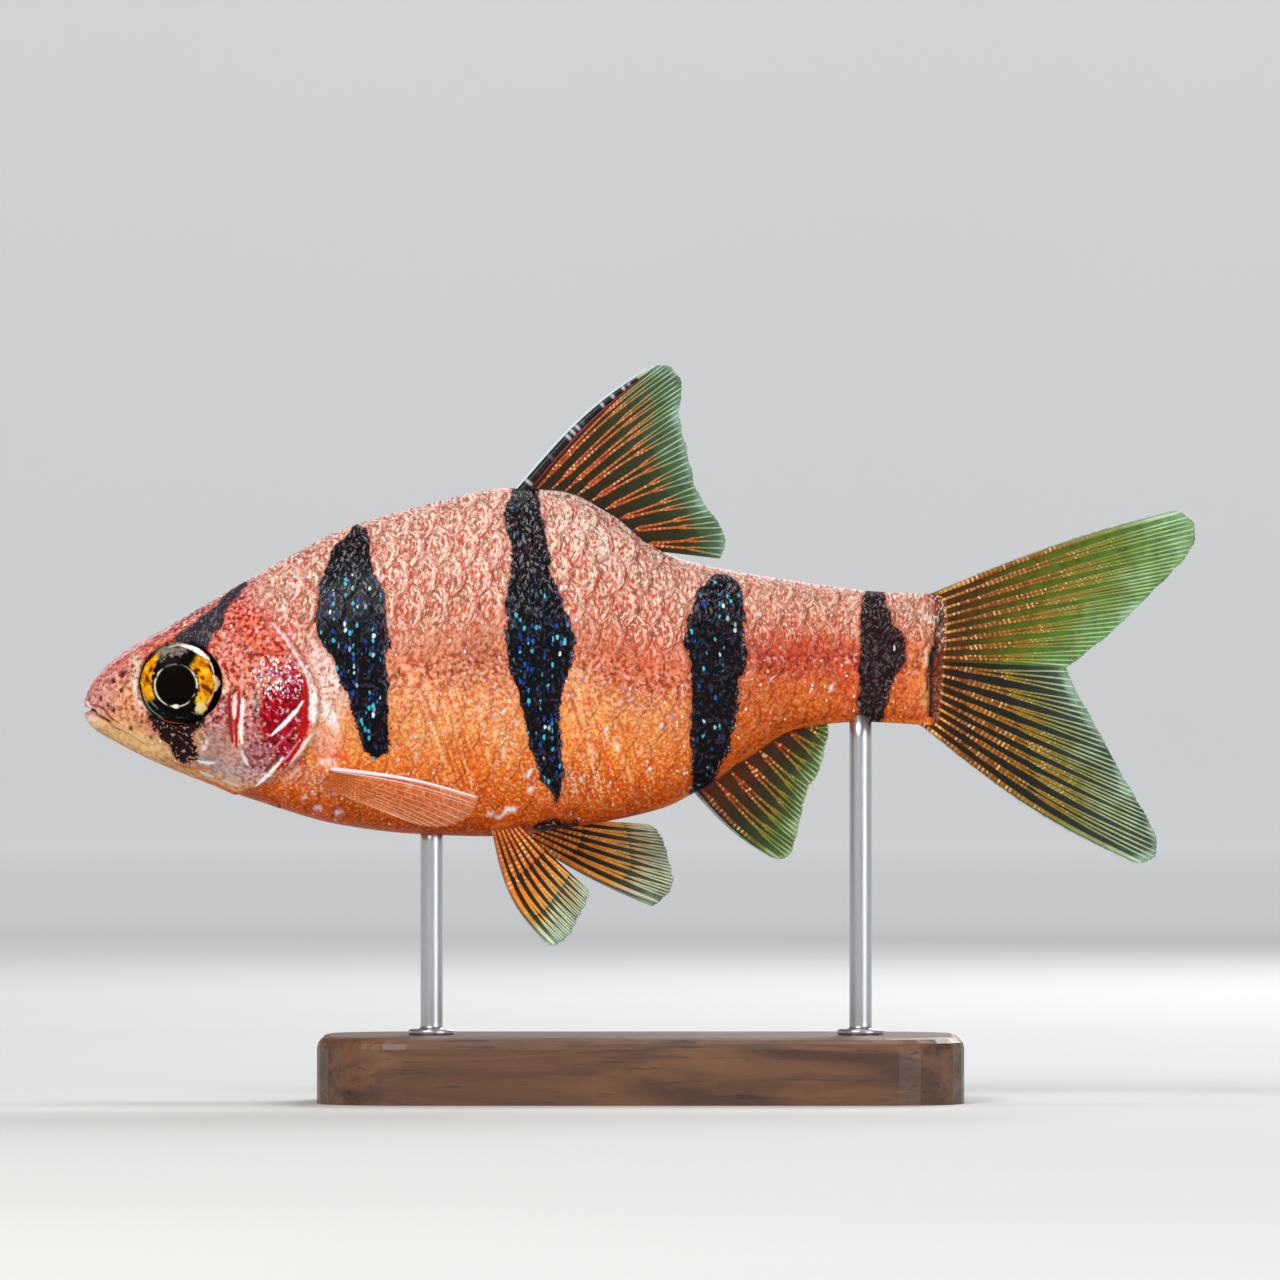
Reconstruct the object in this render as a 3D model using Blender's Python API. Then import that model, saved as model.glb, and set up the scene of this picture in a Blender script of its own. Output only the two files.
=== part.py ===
"""A five-banded barb at life size, held level on a plain two-rod display stand.

The model is in metres and +Z is up. The snout points to -X and the fish's left side faces -Y.
The sizes named below are in millimetres, and MM turns them into metres. Lists of points hold
(distance behind the snout, height above the floor).
"""

import math

import bmesh
import bpy
from mathutils import Vector

MM = 0.001
GAP = 0.3

TOTAL_LENGTH = 50.0
SNOUT_X = -TOTAL_LENGTH / 2

# Outline of the body without its fins
BACK_POINTS = [
    (0.0, 17.94), (0.15, 18.5), (0.45, 19.05), (1.3, 19.92), (4.2, 21.65), (8.5, 24.15),
    (11.7, 25.8), (15.0, 26.77), (19.0, 27.6), (21.3, 27.48), (23.8, 26.35), (25.4, 25.05),
    (27.0, 24.35), (31.3, 23.52), (36.0, 22.93), (38.6, 22.84),
]
BELLY_POINTS = [
    (0.0, 17.94), (0.06, 17.35), (0.3, 16.88), (1.3, 16.23), (4.2, 14.83), (8.2, 13.38),
    (11.5, 12.45), (14.9, 12.04), (18.2, 11.93), (22.1, 12.38), (25.9, 13.17), (27.7, 14.05),
    (30.4, 15.9), (32.0, 16.75), (34.9, 17.08), (38.6, 16.88),
]
HALF_WIDTH_POINTS = [
    (0.0, 0.0), (0.15, 0.62), (0.45, 0.98), (1.3, 1.42), (2.5, 1.85), (4.2, 2.3), (6.5, 2.7),
    (10.0, 3.05), (14.0, 3.3), (18.0, 3.25), (22.0, 2.95), (26.0, 2.35), (30.0, 1.7),
    (34.0, 1.15), (38.6, 0.62),
]
BACK_KEEL = 1.18
BELLY_KEEL = 0.88
BODY_SIDES = 36
HEAD_RING_STEP = 0.38
TRUNK_RING_STEP = 0.95
BODY_END = 38.3

# Rear edge of the gill cover: (height, distance behind the snout)
GILL_EDGE_POINTS = [
    (9.0, 4.6), (13.6, 6.2), (14.3, 7.9), (15.3, 9.4), (16.5, 10.3), (18.0, 10.6),
    (19.6, 10.2), (21.1, 9.1), (23.5, 7.6), (30.0, 6.2),
]
GILL_EDGE_STEPS = 22
GILL_FLARE = 0.16
GILL_FLARE_REACH = 1.5
SHOULDER_DIP = 0.12
COVER_CENTRE = (8.6, 18.0)
COVER_RADIUS = 1.7
COVER_BULGE = 0.12

# Where the trunk ends and the tail's stalk begins
VENT = 27.2

EYE_CENTRE = (4.25, 18.78)
EYE_RADIUS = 1.82
EYE_BULGE = 1.0
EYE_SINK = 0.42
EYE_SEGMENTS = 24
EYE_RINGS = 12

MOUTH_FRONT = (-0.4, 17.72)
MOUTH_CORNER = (1.25, 17.06)
MOUTH_OPEN = 0.5
LIP_RADIUS = 0.2
LIP_SPREAD = 0.27
LIP_STEPS = 9

NOSTRIL = (1.62, 19.12)
NOSTRIL_RADIUS = 0.17
NOSTRIL_DEPTH = 0.45

# The groove behind the cheek, in side view
CHEEK_GROOVE = [(6.45, 20.2), (6.85, 18.3), (7.0, 16.6), (6.5, 15.5), (5.4, 15.15)]
GROOVE_RADIUS = 0.16
GROOVE_STEPS = 12

BARBEL_LENGTH = 1.5
BARBEL_RADIUS = 0.24
BARBEL_TIP_RADIUS = 0.09
BARBEL_STEPS = 6

# Fins: the web's thickness, and how far each ray stands out of it on either side
WEB = 0.5
RAY_RIDGE = 0.11
FIN_ROOT_SWELL = 0.3
EDGE_TAPER_FROM = 0.74
EDGE_TAPER_TO = 0.55
RAY_BRANCH_FROM = 0.42
RAY_BRANCH_TO = 0.72
SCALLOP = 0.03

DORSAL_ROOT = (19.15, 25.35)
DORSAL_MARGIN = [
    (25.47, 33.1), (26.2, 33.15), (26.69, 32.74), (26.9, 32.1), (26.78, 30.9),
    (27.22, 28.92), (27.63, 27.39), (28.75, 25.7), (28.8, 24.95), (28.66, 24.42),
]
ANAL_ROOT = (27.35, 30.42)
ANAL_MARGIN = [
    (30.96, 10.94), (31.59, 10.94), (31.9, 11.46), (32.22, 12.72), (32.54, 13.98),
    (33.08, 14.92), (33.44, 16.15), (33.44, 16.42),
]
CAUDAL_FORK = (44.24, 19.52)
CAUDAL_ROOT_TOP = (37.95, 22.88)
CAUDAL_ROOT_MIDDLE = (38.55, 19.82)
CAUDAL_ROOT_BOTTOM = (37.6, 16.86)
CAUDAL_UPPER_MARGIN = [
    (49.1, 26.62), (49.64, 26.35), (50.0, 25.85), (49.88, 25.0), (49.19, 24.06),
    (48.15, 23.02), (47.25, 22.12), (46.2, 21.09), (45.2, 20.28), CAUDAL_FORK,
]
CAUDAL_LOWER_MARGIN = [
    (47.34, 10.69), (48.04, 10.87), (48.28, 11.43), (48.15, 12.13), (47.48, 13.39),
    (46.67, 14.76), (45.86, 16.26), (45.05, 17.76), (44.48, 18.79), CAUDAL_FORK,
]
PELVIC_DOWN_MARGIN = [
    (20.95, 7.0), (21.46, 7.19), (21.92, 7.65), (22.28, 8.4), (22.59, 8.98), (22.72, 9.5),
]
PELVIC_BACK_MARGIN = [
    (25.68, 8.73), (26.2, 9.25), (26.5, 9.7), (26.5, 10.29), (26.35, 10.88), (26.06, 11.4),
    (25.6, 11.75),
]
PELVIC_ROOT = (18.2, 20.2)
PELVIC_APART = 1.15
PELVIC_SPLAY = 1.3
PECTORAL_ROOT_TOP = (10.75, 15.05)
PECTORAL_ROOT_BOTTOM = (10.55, 14.2)
PECTORAL_MARGIN = [
    (17.7, 13.8), (17.62, 13.25), (17.1, 12.7), (16.2, 12.4), (15.1, 12.5), (14.0, 12.9),
]
# How far the pectoral's tip stands off the flank along its first and last rays
PECTORAL_OUT = (1.15, 2.65)
PECTORAL_BOW = 0.5

STAND_LENGTH = 29.0
STAND_DEPTH = 15.0
STAND_HEIGHT = 3.0
STAND_CENTRE = 25.0
STAND_CORNER = 4.0
STAND_CORNER_STEPS = 6
STAND_EDGE = 0.5
STAND_EDGE_STEPS = 3
ROD_RADIUS = 0.5
ROD_SIDES = 20
ROD_PLACES = {"stand_rod_front": 15.6, "stand_rod_rear": 34.9}
SOCKET_FLOOR = 1.4


class Line:
    """A smooth single-valued line through a few points that never overshoots them."""

    def __init__(self, points):
        self.points = points
        steps = [(b[1] - a[1]) / (b[0] - a[0]) for a, b in zip(points, points[1:])]
        self.slopes = [steps[0]]
        for before, after in zip(steps, steps[1:]):
            turns = before * after <= 0
            self.slopes.append(0.0 if turns else 2 * before * after / (before + after))
        self.slopes.append(steps[-1])

    def __call__(self, at):
        points = self.points
        at = min(max(at, points[0][0]), points[-1][0])
        i = 0
        while i < len(points) - 2 and at > points[i + 1][0]:
            i += 1
        (x0, y0), (x1, y1) = points[i], points[i + 1]
        t = (at - x0) / (x1 - x0)
        bend = (self.slopes[i] * (1 - t) - self.slopes[i + 1] * t) * (x1 - x0)
        ease = t * t * (3 - 2 * t)
        return y0 + (y1 - y0) * ease + bend * t * (1 - t)


class Path:
    """A smooth curve through a few points, read by its share of the whole length."""

    STEPS = 16

    def __init__(self, points):
        ends = [points[0]] + list(points) + [points[-1]]
        self.dense = []
        for a, b, c, d in zip(ends, ends[1:], ends[2:], ends[3:]):
            for k in range(self.STEPS):
                self.dense.append(self.between(a, b, c, d, k / self.STEPS))
        self.dense.append(Vector(points[-1]))
        self.lengths = [0.0]
        for a, b in zip(self.dense, self.dense[1:]):
            self.lengths.append(self.lengths[-1] + (b - a).length)

    @staticmethod
    def between(a, b, c, d, t):
        a, b, c, d = (Vector(p) for p in (a, b, c, d))
        out, back = (c - a) / 2, (d - b) / 2
        cubic = 2 * b - 2 * c + out + back
        square = -3 * b + 3 * c - 2 * out - back
        return ((cubic * t + square) * t + out) * t + b

    def __call__(self, share):
        wanted = min(max(share, 0.0), 1.0) * self.lengths[-1]
        for i in range(1, len(self.lengths)):
            if self.lengths[i] >= wanted:
                break
        span = self.lengths[i] - self.lengths[i - 1]
        part = (wanted - self.lengths[i - 1]) / span if span else 0.0
        return self.dense[i - 1].lerp(self.dense[i], part)


back = Line(BACK_POINTS)
belly = Line(BELLY_POINTS)
widest = Line(HALF_WIDTH_POINTS)
gill_edge = Line(GILL_EDGE_POINTS)


def bell(distance, reach):
    return math.exp(-((distance / reach) ** 2))


def ease(low, high, value):
    t = min(max((value - low) / (high - low), 0.0), 1.0)
    return t * t * (3 - 2 * t)


def half_width(s, z):
    """Half the body's width at a distance behind the snout and a height."""
    top, bottom = back(s), belly(s)
    level = (2 * z - top - bottom) / (top - bottom)
    level = min(max(level, -1.0), 1.0)
    power = BELLY_KEEL + (BACK_KEEL - BELLY_KEEL) * (level + 1) / 2
    return widest(s) * math.sqrt(1 - level * level) ** power


def head_relief(s, z):
    """The gill cover swells, and its rear edge flares off the shoulder."""
    swell = COVER_BULGE * bell(math.dist((s, z), COVER_CENTRE), COVER_RADIUS)
    flare = GILL_FLARE * bell(gill_edge(z) - s, GILL_FLARE_REACH)
    return swell + flare


def trunk_relief(s, z):
    """The shoulder dips a little where it passes under the gill cover."""
    return -SHOULDER_DIP * bell(s - gill_edge(z), GILL_FLARE_REACH)


def place(s, y, z):
    """The world point of a distance behind the snout, an offset to the right and a height."""
    return Vector((SNOUT_X + s, y, z)) * MM


def material(name, colour, roughness, metallic=0.0):
    made = bpy.data.materials.new(name)
    made.use_nodes = True
    made.diffuse_color = (*colour, 1.0)
    shader = made.node_tree.nodes["Principled BSDF"]
    shader.inputs["Base Color"].default_value = (*colour, 1.0)
    shader.inputs["Roughness"].default_value = roughness
    shader.inputs["Metallic"].default_value = metallic
    return made


def solid(name, points, faces, finish=None):
    """A closed mesh object with its faces turned outwards."""
    mesh = bpy.data.meshes.new(name)
    mesh.from_pydata([tuple(p) for p in points], [], faces)
    made = bmesh.new()
    made.from_mesh(mesh)
    bmesh.ops.recalc_face_normals(made, faces=made.faces)
    made.to_mesh(mesh)
    made.free()
    obj = bpy.data.objects.new(name, mesh)
    bpy.context.scene.collection.objects.link(obj)
    if finish:
        mesh.materials.append(finish)
    return obj


def smooth_shade(obj, angle=40):
    obj.data.shade_smooth()
    obj.data.set_sharp_from_angle(angle=math.radians(angle))
    return obj


def largest_surface(obj):
    """Keeps only the largest closed surface of the object's mesh."""
    made = bmesh.new()
    made.from_mesh(obj.data)
    left, groups = set(made.verts), []
    while left:
        group, front = set(), [left.pop()]
        while front:
            vert = front.pop()
            group.add(vert)
            for edge in vert.link_edges:
                other = edge.other_vert(vert)
                if other in left:
                    left.discard(other)
                    front.append(other)
        groups.append(group)
    groups.sort(key=len)
    for group in groups[:-1]:
        bmesh.ops.delete(made, geom=list(group), context="VERTS")
    made.to_mesh(obj.data)
    made.free()


def combine(obj, operation, others):
    """Applies one exact Boolean of obj with a collection of closed objects, and removes them."""
    group = bpy.data.collections.new(f"{obj.name}_{operation}")
    for other in others:
        bpy.context.scene.collection.objects.unlink(other)
        group.objects.link(other)
    bpy.context.scene.collection.children.link(group)
    change = obj.modifiers.new(operation, "BOOLEAN")
    change.operation = operation
    change.solver = "EXACT"
    change.operand_type = "COLLECTION"
    change.collection = group
    bpy.context.view_layer.update()
    evaluated = obj.evaluated_get(bpy.context.evaluated_depsgraph_get())
    mesh = bpy.data.meshes.new_from_object(evaluated)
    obj.modifiers.clear()
    obj.data = mesh
    for other in list(group.objects):
        bpy.data.objects.remove(other)
    bpy.data.collections.remove(group)
    largest_surface(obj)


def prism(name, outline, half_depth):
    """A side-view outline carried straight through the body from left to right."""
    count = len(outline)
    points = [place(s, y, z) for y in (-half_depth, half_depth) for s, z in outline]
    faces = [list(range(count)), list(range(2 * count - 1, count - 1, -1))]
    for i in range(count):
        j = (i + 1) % count
        faces.append([i, j, count + j, count + i])
    return solid(name, points, faces)


def ellipsoid(name, centre, radii, finish=None):
    """A closed ellipsoid with its poles out to the sides of the fish."""
    points = [centre + Vector((0, -radii[1], 0)) * MM]
    for ring in range(1, EYE_RINGS):
        down = math.pi * ring / EYE_RINGS
        for k in range(EYE_SEGMENTS):
            turn = 2 * math.pi * k / EYE_SEGMENTS
            off = Vector((
                radii[0] * math.sin(down) * math.cos(turn),
                -radii[1] * math.cos(down),
                radii[2] * math.sin(down) * math.sin(turn),
            ))
            points.append(centre + off * MM)
    points.append(centre + Vector((0, radii[1], 0)) * MM)
    last, faces = len(points) - 1, []
    for k in range(EYE_SEGMENTS):
        n = (k + 1) % EYE_SEGMENTS
        faces.append([0, 1 + k, 1 + n])
        for ring in range(EYE_RINGS - 2):
            a = 1 + ring * EYE_SEGMENTS
            faces.append([a + k, a + EYE_SEGMENTS + k, a + EYE_SEGMENTS + n, a + n])
        a = 1 + (EYE_RINGS - 2) * EYE_SEGMENTS
        faces.append([a + k, last, a + n])
    return solid(name, points, faces, finish)


def tube(name, centres, radii, sides, finish=None):
    """A closed round tube along world points, with its own radius at each."""
    points, faces = [], []
    for i, centre in enumerate(centres):
        ahead = centres[min(i + 1, len(centres) - 1)] - centres[max(i - 1, 0)]
        across = ahead.cross(Vector((0, 0, 1)))
        if across.length < 1e-9:
            across = Vector((1, 0, 0))
        across.normalize()
        other = ahead.normalized().cross(across)
        for k in range(sides):
            turn = 2 * math.pi * k / sides
            spoke = across * math.cos(turn) + other * math.sin(turn)
            points.append(centre + spoke * radii[i] * MM)
    for i in range(len(centres) - 1):
        for k in range(sides):
            n = (k + 1) % sides
            a, b = i * sides, (i + 1) * sides
            faces.append([a + k, a + n, b + n, b + k])
    faces.append(list(range(sides)))
    faces.append([(len(centres) - 1) * sides + k for k in range(sides)])
    return solid(name, points, faces, finish)


def whole_body(name, relief, finish):
    """The body from snout to tail root as rings of points, with a relief on its flanks."""
    stations, s = [0.03, 0.1, 0.2], 0.35
    while s < BODY_END:
        stations.append(s)
        s += HEAD_RING_STEP if s < gill_edge.points[5][1] + 1 else TRUNK_RING_STEP
    stations.append(BODY_END)
    points = [place(0.0, 0.0, back(0.0))]
    for s in stations:
        top, bottom = back(s), belly(s)
        for k in range(BODY_SIDES):
            turn = 2 * math.pi * k / BODY_SIDES
            z = (top + bottom) / 2 + (top - bottom) / 2 * math.cos(turn)
            across = math.sin(turn)
            y = half_width(s, z) + relief(s, z) * abs(across)
            points.append(place(s, math.copysign(y, across) if abs(across) > 1e-6 else 0.0, z))
    faces = []
    for k in range(BODY_SIDES):
        n = (k + 1) % BODY_SIDES
        faces.append([0, 1 + k, 1 + n])
        for ring in range(len(stations) - 1):
            a = 1 + ring * BODY_SIDES
            faces.append([a + k, a + BODY_SIDES + k, a + BODY_SIDES + n, a + n])
    last = 1 + (len(stations) - 1) * BODY_SIDES
    faces.append([last + k for k in range(BODY_SIDES)])
    return solid(name, points, faces, finish)


def gill_line(offset):
    """The gill cover's rear edge in side view, moved off along its own normal."""
    low, high = GILL_EDGE_POINTS[0][0], GILL_EDGE_POINTS[-1][0]
    line = []
    for k in range(GILL_EDGE_STEPS + 1):
        z = low + (high - low) * k / GILL_EDGE_STEPS
        slope = (gill_edge(z + 0.05) - gill_edge(z - 0.05)) / 0.1
        size = math.hypot(1.0, slope)
        line.append((gill_edge(z) + offset / size, z - offset * slope / size))
    return line


def mouth_point(share):
    """A point of the mouth's line in side view, from the front of the lips to the corner."""
    start = (0.05, MOUTH_FRONT[1])
    return tuple(a + (b - a) * share for a, b in zip(start, MOUTH_CORNER))


def lip(name, raised, set_back):
    """One lip: a soft roll round the front of the snout from corner to corner."""
    centres, radii = [], []
    for k in range(-LIP_STEPS, LIP_STEPS + 1):
        share = abs(k) / LIP_STEPS
        s, z = mouth_point(share)
        s += set_back * (1 - share)
        side = math.copysign(1.0, k) if k else 0.0
        y = side * (half_width(s, z) - 0.02)
        centres.append(place(s + 0.12 * (1 - share), y, z + raised * LIP_SPREAD * (1 - 0.5 * share)))
        radii.append(LIP_RADIUS * (1 - 0.35 * share))
    return tube(name, centres, radii, 10)


def barbel(name, side):
    """A short feeler that lies back along the cheek from the corner of the mouth."""
    centres, radii = [], []
    for k in range(BARBEL_STEPS + 1):
        share = k / BARBEL_STEPS
        s = MOUTH_CORNER[0] + BARBEL_LENGTH * share
        z = MOUTH_CORNER[1] - 0.75 * BARBEL_LENGTH * share * (0.6 + 0.2 * share)
        radius = BARBEL_RADIUS + (BARBEL_TIP_RADIUS - BARBEL_RADIUS) * share
        centres.append(place(s, side * (half_width(s, z) + radius * (0.1 + 0.5 * share)), z))
        radii.append(radius)
    return tube(name, centres, radii, 8)


def eye_middle(side):
    s, z = EYE_CENTRE
    return place(s, side * (half_width(s, z) - EYE_SINK), z)


def nostril_cutter(name, side):
    s, z = NOSTRIL
    out = half_width(s, z) + 0.3
    inner = place(s + 0.1, side * (out - 0.3 - NOSTRIL_DEPTH), z - 0.05)
    return tube(name, [inner, place(s, side * out, z)], [NOSTRIL_RADIUS * 0.6, NOSTRIL_RADIUS], 10)


def groove_cutter(name, side):
    """A thin tube laid along the cheek's rear edge, half sunk in the skin."""
    line, centres, radii = Path(CHEEK_GROOVE), [], []
    for k in range(GROOVE_STEPS + 1):
        share = k / GROOVE_STEPS
        s, z = line(share)
        centres.append(place(s, side * (half_width(s, z) + head_relief(s, z)), z))
        radii.append(GROOVE_RADIUS * (0.45 + 0.55 * math.sin(math.pi * share)))
    return tube(name, centres, radii, 8)


def make_head(finish):
    head = whole_body("head", head_relief, finish)
    front = gill_line(0.0)
    outline = [(-2.0, front[0][1])] + front + [(-2.0, front[-1][1])]
    combine(head, "INTERSECT", [prism("head_region", outline, 8.0)])
    rolls = [lip("upper_lip", 1.0, 0.0), lip("lower_lip", -1.0, 0.1)]
    combine(head, "UNION", rolls + [barbel(f"barbel_{side}", side) for side in (-1, 1)])
    front_top = (MOUTH_FRONT[0], MOUTH_FRONT[1] + MOUTH_OPEN / 2)
    front_bottom = (MOUTH_FRONT[0], MOUTH_FRONT[1] - MOUTH_OPEN / 2)
    corner = [(MOUTH_CORNER[0], MOUTH_CORNER[1] + d) for d in (-0.05, 0.05)]
    cutters = [prism("mouth", [front_top, front_bottom] + corner, 4.0)]
    socket = [EYE_RADIUS + GAP, EYE_BULGE + GAP, EYE_RADIUS + GAP]
    for side in (-1, 1):
        cutters.append(ellipsoid(f"socket_{side}", eye_middle(side), socket))
        cutters.append(nostril_cutter(f"nostril_{side}", side))
        cutters.append(groove_cutter(f"groove_{side}", side))
    combine(head, "DIFFERENCE", cutters)
    smooth_shade(head)


def make_torso(finish):
    torso = whole_body("torso", trunk_relief, finish)
    front = gill_line(GAP)
    outline = front + [(VENT, front[-1][1]), (VENT, front[0][1])]
    combine(torso, "INTERSECT", [prism("torso_region", outline, 8.0)])
    smooth_shade(torso)


def make_tail(finish):
    tail = whole_body("tail", lambda s, z: 0.0, finish)
    low, high = GILL_EDGE_POINTS[0][0], GILL_EDGE_POINTS[-1][0]
    rear = [
        (CAUDAL_ROOT_BOTTOM[0] - GAP, low), (CAUDAL_ROOT_BOTTOM[0] - GAP, CAUDAL_ROOT_BOTTOM[1]),
        (CAUDAL_ROOT_MIDDLE[0] - GAP, CAUDAL_ROOT_MIDDLE[1]),
        (CAUDAL_ROOT_TOP[0] - GAP, CAUDAL_ROOT_TOP[1]), (CAUDAL_ROOT_TOP[0] - GAP, high),
    ]
    outline = [(VENT + GAP, low)] + rear + [(VENT + GAP, high)]
    combine(tail, "INTERSECT", [prism("tail_region", outline, 8.0)])
    smooth_shade(tail)


def make_eyes(finish):
    for side, word in ((-1, "left"), (1, "right")):
        radii = (EYE_RADIUS, EYE_BULGE, EYE_RADIUS)
        smooth_shade(ellipsoid(f"eye_{word}", eye_middle(side), radii, finish))


def fin_columns(rays, branched):
    """(share along the fin, kind) of each column of points from the leading edge back."""
    columns = [(0.0, "edge")]
    for i in range(rays):
        middle = (i + 0.5) / rays
        if branched and i > 0:
            columns.append((middle - 0.22 / rays, "branch"))
            columns.append((middle, "stem"))
            columns.append((middle + 0.22 / rays, "branch"))
        else:
            columns.append((middle, "branch"))
        if i < rays - 1:
            columns.append(((i + 1) / rays, "web"))
    return columns + [(1.0, "edge")]


def half_thickness(kind, v):
    """Half the fin's thickness in a column at a share of the way out from the root."""
    half = WEB / 2
    if kind == "branch":
        half += RAY_RIDGE
    elif kind == "stem":
        half += RAY_RIDGE * (1 - ease(RAY_BRANCH_FROM, RAY_BRANCH_TO, v))
    elif kind == "edge":
        half *= 0.85
    swell = 1 + FIN_ROOT_SWELL * (1 - v) ** 3
    taper = 1 + (EDGE_TAPER_TO - 1) * ease(EDGE_TAPER_FROM, 1.0, v)
    return half * swell * taper


def fin(name, surface, rays, rows, finish, branched=True):
    """A closed fin round a middle surface(u, v): web, ray ridges and a scalloped edge."""
    columns = fin_columns(rays, branched)
    sheets = ([], [])
    for u, kind in columns:
        reach = 1 - SCALLOP if kind in ("web", "stem") else 1.0
        for row in range(rows + 1):
            v = row / rows * reach
            here = surface(u, v)
            along = surface(u, min(v + 0.01, 1.0)) - surface(u, max(v - 0.01, 0.0))
            across = surface(min(u + 0.01, 1.0), v) - surface(max(u - 0.01, 0.0), v)
            normal = along.cross(across).normalized()
            half = half_thickness(kind, v) * MM
            for sheet, way in zip(sheets, (1, -1)):
                sheet.append(here + normal * half * way)
    points = sheets[0] + sheets[1]
    under, width = len(sheets[0]), rows + 1
    faces = []
    for i in range(len(columns) - 1):
        for j in range(rows):
            a, b = i * width + j, (i + 1) * width + j
            for tri in ((a, b, b + 1), (a, b + 1, a + 1)):
                faces.append(tri)
                faces.append([under + k for k in reversed(tri)])
    rim = [i * width for i in range(len(columns))]
    rim += [(len(columns) - 1) * width + j for j in range(1, rows + 1)]
    rim += [i * width + rows for i in range(len(columns) - 2, -1, -1)]
    rim += list(range(rows - 1, 0, -1))
    for a, b in zip(rim, rim[1:] + rim[:1]):
        faces.append((a, b, under + b))
        faces.append((a, under + b, under + a))
    return smooth_shade(solid(name, points, faces, finish), 50)


def fan(root, margin, arch, crowd=1.0):
    """The side view of a fin: rays from root(u) to the margin, bowed by arch(u)."""
    edge = Path(margin)

    def at(u, v):
        start, end = Vector(root(u)), edge(u**crowd)
        line = end - start
        side = Vector((-line.y, line.x)).normalized()
        return start + line * v + side * arch(u) * math.sin(math.pi * v**1.15)

    return at


def line_root(line, first, last, away):
    """Root points along the back (away 1) or belly (away -1), one gap off the skin."""

    def root(u):
        s = first + (last - first) * u
        slope = (line(s + 0.1) - line(s - 0.1)) / 0.2
        size = math.hypot(1.0, slope)
        return s - away * GAP * slope / size, line(s) + away * GAP / size

    return root


def straight_root(first, last):
    return lambda u: tuple(a + (b - a) * u for a, b in zip(first, last))


def median(side_view, sway):
    """A fin on the midline whose edge sways to one side by up to this distance."""

    def surface(u, v):
        s, z = side_view(u, v)
        return place(s, sway * v * v * math.sin(2.2 * u + 0.6), z)

    return surface


def make_median_fins(finish):
    dorsal = fan(line_root(back, *DORSAL_ROOT, 1), DORSAL_MARGIN, lambda u: 0.42 * (1 - u) ** 2, 1.3)
    fin("dorsal_fin", median(dorsal, 0.35), 9, 7, finish)
    anal = fan(line_root(belly, *ANAL_ROOT, -1), ANAL_MARGIN, lambda u: -0.25 * (1 - u) ** 2, 1.15)
    fin("anal_fin", median(anal, -0.3), 7, 6, finish)
    middle_gap = Vector((0.0, GAP / 2))
    top = straight_root(CAUDAL_ROOT_TOP, Vector(CAUDAL_ROOT_MIDDLE) + middle_gap)
    upper_margin = CAUDAL_UPPER_MARGIN[:-1] + [tuple(Vector(CAUDAL_FORK) + middle_gap)]
    upper = fan(top, upper_margin, lambda u: 0.3 * (1 - u) ** 2)
    fin("caudal_fin_upper", median(upper, 0.5), 9, 8, finish)
    bottom = straight_root(CAUDAL_ROOT_BOTTOM, Vector(CAUDAL_ROOT_MIDDLE) - middle_gap)
    lower_margin = CAUDAL_LOWER_MARGIN[:-1] + [tuple(Vector(CAUDAL_FORK) - middle_gap)]
    lower = fan(bottom, lower_margin, lambda u: -0.5 * (1 - u) ** 2)
    fin("caudal_fin_lower", median(lower, 0.5), 9, 8, finish)


def pelvic(margin, side, arch):
    """A pelvic fin: rooted on the belly beside the midline and splayed outwards."""
    first, last = PELVIC_ROOT
    rise = GAP + WEB * 0.6

    def root(u):
        s = first + (last - first) * u
        return s, belly_height(s, PELVIC_APART) - rise

    side_view = fan(root, margin, arch)

    def surface(u, v):
        s, z = side_view(u, v)
        return place(s, side * (PELVIC_APART + PELVIC_SPLAY * v), z)

    return surface


def belly_height(s, y):
    """Height of the belly's skin at a distance out from the midline."""
    top, bottom = back(s), belly(s)
    low, high = bottom, (top + bottom) / 2
    for _ in range(30):
        middle = (low + high) / 2
        if half_width(s, middle) < y:
            low = middle
        else:
            high = middle
    return low


def pectoral(side):
    """A pectoral fin: laid back along the flank, its lower edge held out from it."""
    root = straight_root(PECTORAL_ROOT_TOP, PECTORAL_ROOT_BOTTOM)
    side_view = fan(root, PECTORAL_MARGIN, lambda u: 0.15 * (1 - u))
    clear = GAP + WEB * 0.8

    def surface(u, v):
        s, z = side_view(u, v)
        start = half_width(*root(u)) + clear
        tip = PECTORAL_OUT[0] + (PECTORAL_OUT[1] - PECTORAL_OUT[0]) * u
        out = start + tip * v + PECTORAL_BOW * math.sin(math.pi * v) * (1 - u)
        return place(s, side * max(out, half_width(s, z) + clear), z)

    return surface


def make_paired_fins(finish):
    arch_down = pelvic(PELVIC_DOWN_MARGIN, -1, lambda u: -0.55 * (1 - u))
    fin("pelvic_fin_left", arch_down, 8, 6, finish)
    arch_back = pelvic(PELVIC_BACK_MARGIN, 1, lambda u: -0.2 * (1 - u))
    fin("pelvic_fin_right", arch_back, 8, 6, finish)
    for side, word in ((-1, "left"), (1, "right")):
        fin(f"pectoral_fin_{word}", pectoral(side), 10, 6, finish, branched=False)


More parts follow.
